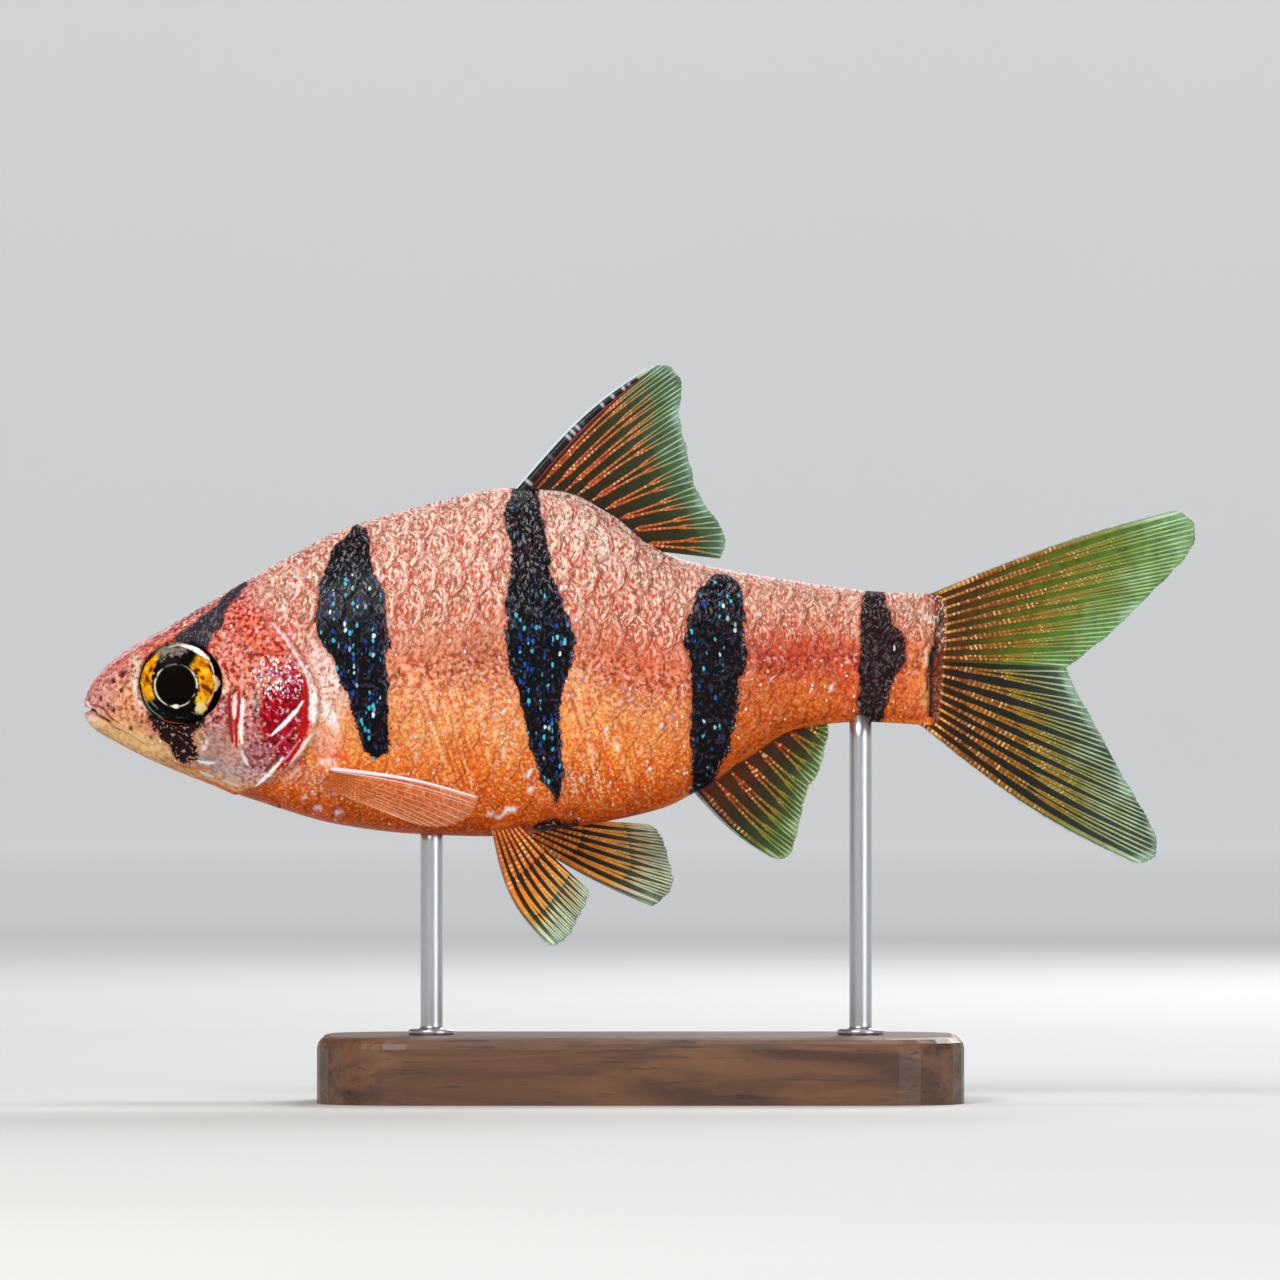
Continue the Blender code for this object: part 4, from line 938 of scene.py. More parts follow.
class Girth:
    """The body read by (s, t), where t is the distance in mm round it from the back's ridge."""

    SHARES = 160
    TURNS = 240
    STEP = 0.2

    def __init__(self):
        self.s = np.arange(SCALE_FIRST - 4, SKIN_END + 0.01, self.STEP)
        turns = np.linspace(0, np.pi, self.TURNS + 1)
        shares = np.linspace(0, 1, self.SHARES + 1)
        self.turns, self.halves, self.middles = [], [], []
        for s, height in zip(self.s, np.interp(self.s, LATERAL_ENDS, LATERAL_HEIGHT)):
            ring = body_point(np.full(turns.shape, s), turns)
            steps = np.linalg.norm(np.diff(ring, axis=0), axis=1)
            lengths = np.concatenate([[0.0], np.cumsum(steps)])
            self.turns.append(np.interp(shares * lengths[-1], lengths, turns))
            self.halves.append(lengths[-1])
            self.middles.append(np.interp(math.acos(level_at(s, height)), turns, lengths))
        self.turns = np.array(self.turns)

    def half(self, s):
        return np.interp(s, self.s, self.halves)

    def middle(self, s):
        """Distance from the ridge down to the lateral row."""
        return np.interp(s, self.s, self.middles)

    def turn(self, s, t):
        """The turn on the right side at a distance round; past the ridge or keel it carries on."""
        share = t / self.half(s)
        folded = np.where(share > 1, 2 - share, np.abs(share))
        row = np.clip((s - self.s[0]) / self.STEP, 0, len(self.s) - 1.001)
        column = np.clip(folded * self.SHARES, 0, self.SHARES - 0.001)
        i, j = row.astype(int), column.astype(int)
        f, g = row - i, column - j
        near = blend(self.turns[i, j], self.turns[i, j + 1], g)
        far = blend(self.turns[i + 1, j], self.turns[i + 1, j + 1], g)
        turn = blend(near, far, f)
        return np.where(share < 0, -turn, np.where(share > 1, 2 * np.pi - turn, turn))


def row_gap(s):
    return blend(*ROW_GAP, ease(22.0, 36.0, s))


def column_gap(s):
    return blend(*COLUMN_GAP, ease(20.0, 36.0, s))


def scale_sites(girth):
    """Each scale's rear edge, its row's number, and how much of each half height there is room for."""
    columns = [SCALE_FIRST]
    while columns[-1] < SCALE_LAST:
        columns.append(columns[-1] + column_gap(columns[-1]) / 2)
    sites = []
    for row in range(-9, 10):
        for s in columns[row % 2::2]:
            gap = row_gap(s)
            t = girth.middle(s) + row * gap
            if not 0.3 * gap < t < girth.half(s) - 0.3 * gap:
                continue
            z = body_point(s, girth.turn(s, t))[2]
            if s < gill_edge(z) + 0.35 or s > SCALE_LAST - 0.9 * level_at(s, z) ** 2:
                continue
            up = min(1.0, t / gap)
            down = min(1.0, (girth.half(s) - t) / gap)
            sites.append((s, row, up, down))
    return np.array(sites)


def make_scales(girth, side, word, finish):
    """Overlapping plates in rows; each is rooted in the skin and lifts towards its rear edge."""
    rng = np.random.default_rng(7 + side)
    rear, row, up, down = scale_sites(girth).T[:, :, None, None]
    count = len(rear)
    jitter = rng.uniform(-1, 1, (count, 4))[:, :, None, None]
    a = np.linspace(0, 1, SCALE_STEPS)[None, :, None] ** 0.85
    b = np.linspace(-1, 1, SCALE_SIDES)[None, None, :]
    length = SCALE_LENGTH * column_gap(rear) * (1 + SCALE_VARY["length"] * jitter[:, 0])
    share, power = SCALE_ROUND
    edge = length * (1 - share * np.abs(b) ** power)
    root = length * SCALE_ROOT * b**2
    along = root + a * (edge - root)
    s = np.minimum(rear - length + along, SKIN_END)
    room = np.where(b < 0, up, down)
    cover = SCALE_COVER + SCALE_VARY["cover"] * jitter[:, 1]
    reach = row_gap(s) * cover * (1 - 0.1 * (1 - a) ** 2)
    t = girth.middle(s) + row * row_gap(s) + b * room * reach + SCALE_VARY["place"] * jitter[:, 2] * a
    turn = side * girth.turn(s, np.clip(t, 0.0, girth.half(s)))
    ground = trunk_point(s, turn)
    out = normals(trunk_point, s, turn)
    tips = SCALE_TILT[1] * blend(0.2, 1.0, ease(-0.1, 0.5, level_at(s, ground[..., 2])))
    lift = blend(SCALE_TILT[0], tips, along / length) + SCALE_VARY["lift"] * jitter[:, 3] * a
    up_bow, down_bow = SCALE_BOW
    lift = lift + up_bow * np.cos(np.pi * b / 2) - down_bow * np.abs(b) ** 3
    top = ground + out * lift[..., None]
    bottom = ground + out * (lift - SCALE_THICKNESS)[..., None]
    points = np.concatenate([top.reshape(count, -1, 3), bottom.reshape(count, -1, 3)], 1)
    faces = sheet_faces(SCALE_STEPS, SCALE_SIDES)
    if side == LEFT:
        faces = faces[:, ::-1]
    per = points.shape[1]
    all_faces = (faces[None] + per * np.arange(count)[:, None, None]).reshape(-1, 4)

    marks = markings(ground, np.broadcast_to(SCALE_VARY["band"] * jitter[:, 0], s.shape))
    paint = marks["paint"] * (1 + SCALE_VARY["colour"] * jitter[:, 1])[..., None]
    marks["paint"] = np.clip(paint, 0, 1)

    def both(values):
        flat = values.reshape(count, per // 2, -1)
        flat = np.concatenate([flat, flat], 1).reshape(count * per, -1)
        return flat if flat.shape[1] > 1 else flat[:, 0]

    local = np.stack(np.broadcast_arrays(b * 0.5 + 0.5, a + 0 * s), -1)
    middle = rear - 0.5 * length
    first = unwrapped(middle, side * girth.turn(middle, girth.middle(rear) + row * row_gap(rear)))
    patch = first + OFBAKE_PATCH * (local - 0.5)
    scales = piece(
        f"scales_{word}", points.reshape(-1, 3), [all_faces], [finish],
        attributes={key: both(values) for key, values in marks.items()},
        maps={"OFBake": both(patch), "Scale": both(local)},
    )


def eye_middle(side):
    s, z = EYE_CENTRE
    return np.array([s, side * (half_width(s, z) - EYE_SINK), z])


def eye_colours(ds, dz):
    """Colours over the eye by place from its centre, after the photograph."""
    off = np.hypot(ds, dz) / EYE_RADIUS
    ps, pz = ds - PUPIL_AT[0], dz - PUPIL_AT[1]
    pupil = np.hypot(ps, pz)
    angle = np.degrees(np.arctan2(pz, ps))
    place = np.stack([ds, dz, 0 * ds], -1)
    fibres = noise(np.stack([angle / 9 + 3 * pupil, pupil * 5.5, 0 * ds], -1), 1.0, 11)
    speckle = noise(place, 0.09, 12)
    broad = noise(place, 0.35, 13)

    def sector(first, last, soft=14.0):
        return ease(-soft, soft, angle - first) * ease(-soft, soft, last - angle)

    colour = np.broadcast_to(rgb(4, 4, 6), (*ds.shape, 3))
    gold = np.clip(rgb(240, 146, 4) * (1 + 0.5 * speckle + 0.3 * broad)[..., None], 0, 1)
    gold = tinted(gold, (92, 24, 2), 0.95 * ease(0.15, 0.4, fibres))
    gold = tinted(gold, (255, 214, 44), 0.8 * ease(0.1, 0.45, -fibres))
    left = ease(112, 124, angle + 8 * fibres) + ease(-146, -160, angle)
    gap = blend(0.86, 0.7, ease(110, 150, angle)) * (angle > 0) + 0.7 * (angle <= 0)
    left = left * ease(gap - 0.03, gap + 0.03, off + 0.04 * speckle)
    right = sector(-40, 54, 7) * ease(0.98, 1.04, pupil + 0.05 * speckle)
    colour = blend(colour, gold, np.clip(left + right, 0, 1)[..., None])
    cap = sector(76, 122, 7) * ease(0.66, 0.74, off + 0.08 * speckle)
    colour = tinted(colour, (140, 130, 116), cap * (0.7 + 0.7 * speckle))
    corner = 1 - ease(0.7, 1.1, np.hypot((ds - 0.93) / 0.3, (dz + 1.12) / 0.3) + 0.3 * speckle)
    colour = tinted(colour, (250, 226, 150), corner)
    # Painted glints: faint teal low on the eye.
    low = bell(off - 0.82, 0.05) * sector(-158, -74, 10) * ease(0.1, 0.4, speckle)
    colour = tinted(colour, (60, 120, 126), 0.2 * low)
    ring = np.hypot(ds - IRIS_RING_AT[0], dz - IRIS_RING_AT[1]) - IRIS_RING_RADIUS
    width = 0.024 * (1 + 0.6 * (np.abs(angle) < 45) + 0.5 * (np.abs(angle) > 140))
    broken = ease(-0.6, -0.1, noise(place, 0.2, 14)) * (1 - 0.75 * sector(50, 130))
    colour = tinted(colour, (250, 240, 214), bell(ring, width) * broken)
    spot = 1 - ease(0.06, 0.12, np.hypot(0.6 * (ds + 0.2), dz + 1.04))
    colour = tinted(colour, (255, 252, 240), spot)
    # A black outline round the eye; the wider dark band on its right side is painted shadow.
    rim = ease(0.935, 0.96, off + 0.02 * speckle) * (1 - 0.8 * sector(84, 118, 6))
    rim = np.maximum(rim, ease(0.83, 0.86, off) * sector(-60, 46, 8) * (1 - corner))
    colour = tinted(colour, (8, 6, 9), rim)
    for line, half, tint, strength in EYE_LINES:
        from_line, share = Path(line).nearest(ds, dz)
        wide = half * (0.4 + 0.6 * np.sin(np.pi * np.clip(share, 0.05, 0.95))) * (1 + 0.4 * speckle)
        colour = tinted(colour, tint, strength * (1 - ease(0.6, 1.2, from_line / wide)))
    colour = tinted(colour, (1, 1, 2), 1 - ease(-0.02, 0.03, pupil - PUPIL_RADIUS))
    return np.clip(colour, 0, 1)


def make_eyes(finish):
    """Each eye is a full lens-shaped ball: the solid's own ellipsoid, finer."""
    front, rear = EYE_RINGS
    down = [np.linspace(0, np.pi / 2, front + 1)[1:], np.linspace(np.pi / 2, np.pi, rear + 1)[1:-1]]
    turn = 2 * np.pi * np.arange(EYE_SIDES) / EYE_SIDES
    down, turn = np.meshgrid(np.concatenate(down), turn, indexing="ij")
    ds = EYE_RADIUS * np.sin(down) * np.cos(turn)
    dz = EYE_RADIUS * np.sin(down) * np.sin(turn)
    out = EYE_BULGE * np.cos(down)
    rings = front + rear - 1
    quads = 1 + ring_faces(rings, EYE_SIDES)
    last = 1 + (rings - 1) * EYE_SIDES
    back_end = end_faces(last + EYE_SIDES, last, EYE_SIDES)[:, [0, 2, 1]]
    caps = np.concatenate([end_faces(0, 1, EYE_SIDES), back_end])
    for side, word in ((LEFT, "left"), (RIGHT, "right")):
        local = np.stack([ds, side * out, dz], -1).reshape(-1, 3)
        local = np.concatenate([[[0, side * EYE_BULGE, 0]], local, [[0, -side * EYE_BULGE, 0]]])
        flip = slice(None) if side == LEFT else slice(None, None, -1)
        eye = piece(
            f"eye_{word}_lens", local + eye_middle(side), [quads[:, flip], caps[:, flip]], [finish],
            attributes={"paint": eye_colours(local[:, 0], local[:, 2])},
        )
        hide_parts(f"eye_{word}")


def tube_arrays(centres, radii, sides):
    """Points and faces of closed round tubes; centres are (tubes, steps, 3), radii (tubes, steps)."""
    tubes, steps = radii.shape
    ahead = np.gradient(centres, axis=1)
    ahead /= np.linalg.norm(ahead, axis=-1, keepdims=True)
    across = np.cross(ahead, (0.0, 1.0, 0.0))
    across /= np.maximum(np.linalg.norm(across, axis=-1, keepdims=True), 1e-9)
    other = np.cross(ahead, across)
    turn = 2 * np.pi * np.arange(sides) / sides
    spokes = across[:, :, None] * np.cos(turn)[:, None] + other[:, :, None] * np.sin(turn)[:, None]
    points = centres[:, :, None] + spokes * radii[:, :, None, None]
    ends = np.stack([np.arange(sides), steps * sides - 1 - np.arange(sides)])
    shift = steps * sides * np.arange(tubes)[:, None, None]
    quads = (ring_faces(steps, sides) + shift).reshape(-1, 4)
    return points.reshape(-1, 3), quads, (ends + shift).reshape(-1, sides)


def make_barbels(finish):
    share = np.linspace(0, 1, BARBEL_STEPS)
    for side, word in ((LEFT, "left"), (RIGHT, "right")):
        s = BARBEL_ROOT[0] + BARBEL_LENGTH * share
        z = BARBEL_ROOT[1] - 0.75 * BARBEL_LENGTH * share * (0.6 + 0.2 * share)
        radius = blend(*BARBEL_RADII, share)
        y = side * (half_width(s, z) + radius * (0.1 + 0.7 * share))
        centres = np.stack([s, y, z], -1)
        points, quads, ends = tube_arrays(centres[None], radius[None], BARBEL_SIDES)
        root, tip = (rgb(*tint) for tint in BARBEL_COLOURS)
        colour = np.repeat(blend(root, tip, share[:, None]), BARBEL_SIDES, 0)
        marks = {key: np.zeros(len(points)) for key in SHARES}
        marks["edge"] -= 1
        barbel = piece(
            f"barbel_{word}", points, [quads, ends], [finish],
            attributes={"paint": colour, **marks},
        )


def make_rods(finish):
    """The stand's rods as turned bars that end inside the belly."""
    for word, s in ROD_PLACES.items():
        rise, radius = np.array(COLLAR).T
        shaft = np.linspace(BOARD_TOP + SHAFT_FROM, belly(s) + ROD_INTO_BELLY, ROD_STEPS)
        z = np.concatenate([[ROD_FOOT], BOARD_TOP + rise, shaft])
        radius = np.concatenate([[ROD_RADIUS], radius, np.full(ROD_STEPS, ROD_RADIUS)])
        centres = np.stack([np.full(z.shape, s), 0 * z, z], -1)
        points, quads, ends = tube_arrays(centres[None], radius[None], ROD_SIDES)
        rod = piece(f"rod_{word}", points, [quads, ends], [finish])
        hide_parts(f"stand_rod_{word}")


# The fins, rooted a little inside the skin

DORSAL_ROOT = (19.15, 25.35)
DORSAL_MARGIN = [
    (25.47, 33.1), (26.2, 33.15), (26.69, 32.74), (26.9, 32.1), (26.78, 30.9),
    (27.22, 28.92), (27.63, 27.39), (28.75, 25.7), (28.8, 24.95), (28.66, 24.42),
]
ANAL_ROOT = (27.35, 32.5)
ANAL_MARGIN = [
    (30.96, 10.94), (31.59, 10.94), (31.9, 11.46), (32.22, 12.72), (32.54, 13.98),
    (33.08, 14.92), (33.44, 16.3), (33.5, 16.95),
]
CAUDAL_FORK = (44.24, 19.52)
# The corners of the tail fin's root, which lies inside the body
CAUDAL_ROOT_TOP = (37.35, 22.63)
CAUDAL_MIDDLE = (37.9, 19.82)
CAUDAL_ROOT_BOTTOM = (37.3, 17.11)
CAUDAL_UPPER_MARGIN = [
    (49.1, 26.62), (49.64, 26.35), (50.0, 25.85), (49.88, 25.0), (49.19, 24.06),
    (48.15, 23.02), (47.25, 22.12), (46.2, 21.09), (45.2, 20.28), CAUDAL_FORK,
]
CAUDAL_LOWER_MARGIN = [
    (47.34, 10.69), (48.04, 10.87), (48.28, 11.43), (48.15, 12.13), (47.48, 13.39),
    (46.67, 14.76), (45.86, 16.26), (45.05, 17.76), (44.48, 18.79), CAUDAL_FORK,
]
PELVIC_DOWN_MARGIN = [
    (20.95, 7.0), (21.46, 7.19), (21.92, 7.65), (22.28, 8.4), (22.59, 8.98), (22.72, 9.5),
]
PELVIC_BACK_MARGIN = [
    (25.58, 8.72), (26.17, 9.21), (26.47, 9.68), (26.47, 10.27), (26.33, 10.74), (26.1, 11.59),
    (25.78, 12.2), (25.38, 12.45),
]
PELVIC_DOWN_ROOT = (18.2, 19.3)
PELVIC_BACK_ROOT = (18.5, 20.1)
# How far the pelvic fins' roots stand from the midline, and how much farther their tips do
PELVIC_APART = 1.15
PELVIC_SPLAY = 1.3
PECTORAL_ROOT_TOP = (10.75, 15.05)
PECTORAL_ROOT_BOTTOM = (10.55, 14.2)
PECTORAL_MARGIN = [
    (17.7, 13.8), (17.62, 13.25), (17.1, 12.7), (16.2, 12.4), (15.1, 12.5), (14.0, 12.9),
]
# How far the pectoral fins' upper and lower rays stand out at the tip, how they bow, and the room
# between them and the flank
PECTORAL_OUT = (1.15, 2.65)
PECTORAL_BOW = 0.5
PECTORAL_CLEAR = 0.7
# How deep the fins' roots lie in the skin
FIN_SINK = 0.3
WEB_HALF = 0.035
WEB_STEPS_A_RAY = 14
WEB_STEPS_OUT = 80
RIPPLE = 0.014
FILLET = 0.09
FILLET_REACH = 0.26
NOTCH = 0.09
RAY_SIDES = 8
LEAD_SIDES = 10
LEAD_STEPS, BEADED_STEPS = 100, 220
# Room for a whole ray, its halves and its quarters, as shares of the gap between rays
RAY_ROOMS = (0.36, 0.17, 0.082)
# Length of a ray's segments, and how much they are moved on from ray to ray
SEGMENT = 0.22
SEGMENT_SHIFT = 0.618
BEAD_GAP = 0.3
STEPS_A_SEGMENT = 4


def fan(root, margin, arch, crowd=1.0):
    """The side view of a fin: rays from root(u) to the margin, bowed by arch(u)."""
    edge = Path(margin)

    def at(u, v):
        u, v = np.broadcast_arrays(u, v)
        start, end = root(u), edge(u**crowd)
        line = end - start
        side = np.stack([-line[..., 1], line[..., 0]], -1)
        side /= np.linalg.norm(side, axis=-1, keepdims=True)
        bow = arch(u) * np.sin(np.pi * np.clip(v, 0, 1) ** 1.15)
        return start + line * v[..., None] + side * bow[..., None]

    return at


def line_root(line, first, last, away):
    """Root points along the back (away 1) or belly (away -1), sunk a little under the skin."""

    def root(u):
        s = first + (last - first) * u
        slope = (line(s + 0.1) - line(s - 0.1)) / 0.2
        size = np.hypot(1.0, slope)
        return np.stack([s + away * FIN_SINK * slope / size, line(s) - away * FIN_SINK / size], -1)

    return root


def straight_root(first, last):
    first, last = np.array(first), np.array(last)
    return lambda u: first + (last - first) * np.asarray(u)[..., None]


def median(side_view, sway):
    """A fin on the midline whose edge sways to one side by up to this distance."""

    def surface(u, v):
        at = side_view(u, v)
        bend = sway * np.clip(np.asarray(v) - 0.12, 0, 1) ** 2 * np.sin(2.2 * np.asarray(u) + 0.6)
        return np.stack([at[..., 0], bend + 0 * at[..., 0], at[..., 1]], -1)

    return surface


def belly_height(s, y):
    """Height of the belly's skin at a distance out from the midline."""
    low, high = belly(s), (back(s) + belly(s)) / 2
    for _ in range(30):
        middle = (low + high) / 2
        inside = half_width(s, middle) < y
        low, high = np.where(inside, middle, low), np.where(inside, high, middle)
    return low


def pelvic(foot, margin, side, arch):
    def root(u):
        s = blend(*foot, u)
        return np.stack([s, belly_height(s, PELVIC_APART) + FIN_SINK], -1)

    side_view = fan(root, margin, arch)

    def surface(u, v):
        at = side_view(u, v)
        y = side * (PELVIC_APART + PELVIC_SPLAY * np.asarray(v)) + 0 * at[..., 0]
        return np.stack([at[..., 0], y, at[..., 1]], -1)

    return surface


def pectoral(side):
    root = straight_root(PECTORAL_ROOT_TOP, PECTORAL_ROOT_BOTTOM)
    side_view = fan(root, PECTORAL_MARGIN, lambda u: 0.24 * (1 - u))

    def surface(u, v):
        at = side_view(u, v)
        foot = root(np.broadcast_to(u, at[..., 0].shape))
        start = half_width(foot[..., 0], foot[..., 1])
        out = start + blend(*PECTORAL_OUT, u) * v + PECTORAL_BOW * np.sin(np.pi * v) * (1 - u)
        clear = blend(-FIN_SINK, PECTORAL_CLEAR, ease(0.0, 0.35, v))
        y = np.maximum(out + clear, half_width(at[..., 0], at[..., 1]) + clear)
        return np.stack([at[..., 0], side * y, at[..., 1]], -1)

    return surface


def fin_normals(surface, u, v):
    step = 0.004
    along = surface(u, v + step) - surface(u, v - step)
    across = surface(np.minimum(u + step, 1), v) - surface(np.maximum(u - step, 0), v)
    out = np.cross(along, across)
    return out / np.maximum(np.linalg.norm(out, axis=-1, keepdims=True), 1e-12)


def web_arrays(surface, rays, paint):
    """A thin closed sheet: thick at its root, rippled between rays, with a notched edge."""
    u = np.linspace(0, 1, rays * WEB_STEPS_A_RAY + 1)[:, None]
    v = np.linspace(0, 1, WEB_STEPS_OUT + 1)[None, :] ** 1.1
    length = np.linalg.norm(surface(u, 1 + 0 * u) - surface(u, 0 * u), axis=-1)
    between = 0.5 + 0.5 * np.cos(2 * np.pi * u * rays)
    small = 0.5 + 0.5 * np.cos(8 * np.pi * u * rays)
    notch = NOTCH * (0.6 * between + 0.4 * small) * (1 + 0.5 * noise(np.stack([u * 40, u, u], -1), 1.0, 21))
    u, v = np.broadcast_arrays(u, v * (1 - notch / length))
    middle = surface(u, v)
    out = fin_normals(surface, u, v)
    foot = np.linalg.norm(middle - middle[:, :1], axis=-1)
    half = WEB_HALF * (1 - 0.6 * v) + FILLET * bell(foot - FIN_SINK * 0.5, FILLET_REACH)
    ripple = RIPPLE * np.cos(2 * np.pi * u * rays) * ease(0.2, 0.45, v)
    middle = middle + out * ripple[..., None]
    top, bottom = middle + out * half[..., None], middle - out * half[..., None]
    points = np.concatenate([top.reshape(-1, 3), bottom.reshape(-1, 3)])
    faces = sheet_faces(*u.shape)[:, ::-1]
    colour, clear = paint(u, v, middle, foot)
    return points, faces, np.tile(colour.reshape(-1, 3), (2, 1)), np.tile(clear.ravel(), 2)


def ray_lines(rays, stiff, branch):
    """Each ray's parts as (place, first fork's way, second fork's way, start, stop, share of width)."""
    lines = []
    for i in range(rays):
        middle = (i + 0.5) / rays
        if i < stiff or branch is None:
            lines.append((middle, 0, 0, -0.02, 0.995, 1.0))
            continue
        first, second = branch
        lines.append((middle, 0, 0, -0.02, first, 1.0))
        for one in (-1, 1):
            lines.append((middle, one, 0, first, second, 0.8))
            for two in (-1, 1):
                lines.append((middle, one, two, second, 0.995, 0.64))
    return lines


def ray_arrays(surface, rays, stiff, width, paint, branch):
    """Closed tubes along the rays: each forks in two and, farther out, in two again."""
    first, second = branch or (1.0, 1.0)
    batches = {}
    for number, (middle, one, two, start, stop, share) in enumerate(ray_lines(rays, stiff, branch)):
        length = np.linalg.norm(surface(middle, stop) - surface(middle, start))
        steps = max(6, int(length / SEGMENT * STEPS_A_SEGMENT))
        v = np.linspace(start, stop, steps)
        apart = one * (0.1 * ease(first, first + 0.08, v) + 0.15 * ease(first, 1.0, v))
        apart = apart + two * (0.06 * ease(second, second + 0.08, v) + 0.065 * ease(second, 1.0, v))
        u = middle + apart / rays
        centre = surface(u, v)
        along = np.linalg.norm(centre - surface(u, 0 * v), axis=-1)
        aside = np.linalg.norm(surface(middle + 0.5 / rays, v) - surface(middle - 0.5 / rays, v), axis=-1)
        count = along / SEGMENT + SEGMENT_SHIFT * number
        joint = bell(count % 1.0 - 0.5, 0.12) * ease(0.0, 1.0, along - 0.8) * (1 - ease(0.6, 0.85, v))
        taper = (1 - 0.5 * v) * blend(1.0, share, ease(start, start + 0.15, v))
        taper = taper * blend(0.6, 1.0, ease(0.1, 0.24, v))
        lead = 1.3 if middle < 1 / rays and stiff else 1.0
        room = RAY_ROOMS[abs(one) + abs(two)] * aside
        radius = np.minimum(width * taper * lead, room)
        radius = radius * (1 - 0.12 * joint) * (1 - 0.4 * ease(0.93, 1.0, v))
        colour, _ = paint(u, v, centre, along)
        batches.setdefault(steps, []).append((centre, radius, colour, count, v))
    points, quads, caps, colours, counts, tips, total = [], [], [], [], [], [], 0
    for rows in batches.values():
        centre, radius, colour, count, tip = (np.stack(part) for part in zip(*rows))
        made, faces, ends = tube_arrays(centre, radius, RAY_SIDES)
        points.append(made)
        quads.append(faces + total)
        caps.append(ends + total)
        colours.append(np.repeat(colour.reshape(-1, 3), RAY_SIDES, 0))
        counts.append(np.repeat(count.ravel(), RAY_SIDES))
        tips.append(np.repeat(tip.ravel(), RAY_SIDES))
        total += len(made)
    return [np.concatenate(part) for part in (points, quads, caps, colours, counts, tips)]


def make_fin(name, surface, rays, web_paint, ray_paint, finishes, stiff=1, width=0.1,
             branch=(0.34, 0.62), leads=()):
    """A fin of web and rays; leads are extra leading rays: place, radius, colour, stop, beaded."""
    web = web_arrays(surface, rays, web_paint)
    points, quads, caps, paint, along, tip = ray_arrays(surface, rays, stiff, width, ray_paint, branch)
    groups = [web[1], quads + len(web[0]), caps + len(web[0])]
    points = np.concatenate([web[0], points])
    paint = np.concatenate([web[2], paint])
    clear = np.concatenate([web[3], 0 * along])
    along, tip = (np.concatenate([0 * web[3], part]) for part in (along, tip))
    for place, radius, tint, stop, beaded in leads:
        v = np.linspace(0.0, stop, BEADED_STEPS if beaded else LEAD_STEPS)
        centre = surface(place + 0 * v, v)
        foot = np.linalg.norm(centre - centre[0], axis=-1)
        tube, quads, ends = tube_arrays(centre[None], (radius * (1 - 0.65 * v / stop))[None], LEAD_SIDES)
        groups += [quads + len(points), ends + len(points)]
        points = np.concatenate([points, tube])
        cell = np.floor(foot / BEAD_GAP).astype(int)
        chance = hashed(np.stack([cell] * 3, -1))
        beads = bell(foot / BEAD_GAP % 1 - 0.5, 0.22) * ease(-0.2, 0.6, chance) * beaded
        colour = blend(rgb(*tint), rgb(196, 196, 208), beads[:, None])
        paint = np.concatenate([paint, np.repeat(colour, LEAD_SIDES, 0)])
        clear = np.concatenate([clear, np.zeros(len(tube))])
        along = np.concatenate([along, np.repeat(foot / SEGMENT, LEAD_SIDES)])
        tip = np.concatenate([tip, np.ones(len(tube))])
    counts = [len(group) for group in groups]
    fin = piece(
        f"{name}_fine", points, groups, finishes,
        face_finish=np.repeat([0, 1], [counts[0], sum(counts[1:])]),
        attributes={"paint": paint, "clear": clear, "along": along, "tip": tip},
    )
    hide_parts(name)


OPAQUE = (0, 0, 0)
# Colours of a fin's web and rays, as (share of the way out, colour)
DORSAL_WEB = [
    (0, (44, 26, 6)), (0.4, (40, 38, 0)), (0.7, (30, 58, 8)), (0.92, (60, 100, 56)), (1, (140, 180, 150)),
]
DORSAL_RAYS = [
    (0, (170, 66, 14)), (0.35, (196, 84, 14)), (0.66, (182, 96, 30)), (0.82, (130, 150, 100)),
    (1, (200, 220, 200)),
]
DORSAL_LEADS = [
    (0.006, 0.11, (206, 220, 228), 0.97, False), (0.055, 0.25, (8, 6, 10), 0.88, True),
    (0.1, 0.1, (120, 30, 24), 0.9, False),
]
ANAL_WEB = [
    (0, (92, 34, 0)), (0.4, (44, 30, 0)), (0.75, (40, 56, 2)), (0.92, (70, 96, 30)), (1, (140, 170, 120)),
]
ANAL_RAYS = [
    (0, (206, 90, 0)), (0.3, (150, 60, 0)), (0.6, (140, 106, 0)), (0.8, (110, 132, 44)),
    (1, (184, 208, 156)),
]
UPPER_WEB = [
    (0, (90, 30, 14)), (0.2, (70, 46, 0)), (0.45, (88, 98, 0)), (0.72, (70, 124, 0)), (0.93, (84, 140, 40)),
    (1, (140, 184, 124)),
]
LOWER_WEB = [
    (0, (84, 30, 18)), (0.2, (30, 20, 6)), (0.5, (8, 16, 14)), (0.8, (16, 32, 26)), (0.93, (36, 60, 44)),
    (1, (140, 178, 150)),
]
CAUDAL_RAYS = [
    (0, (100, 40, 20)), (0.06, (150, 66, 20)), (0.1, (244, 184, 70)), (0.17, (156, 80, 4)),
    (0.5, (146, 98, 4)), (0.7, (136, 132, 50)), (0.9, (170, 190, 140)), (1, (200, 220, 196)),
]
PELVIC_WEB = [
    (0, (140, 60, 8)), (0.2, (30, 16, 2)), (0.7, (20, 24, 4)), (0.9, (56, 76, 44)), (1, (150, 176, 140)),
]
PELVIC_RAYS = [
    (0, (226, 112, 8)), (0.55, (236, 130, 12)), (0.75, (220, 160, 60)), (0.88, (206, 206, 166)),
    (1, (216, 228, 206)),
]
PECTORAL_WEB = [(0, (226, 110, 40)), (0.5, (224, 122, 66)), (1, (236, 164, 126))]
PECTORAL_RAYS = [(0, (240, 140, 76)), (0.5, (238, 152, 96)), (1, (248, 196, 164))]
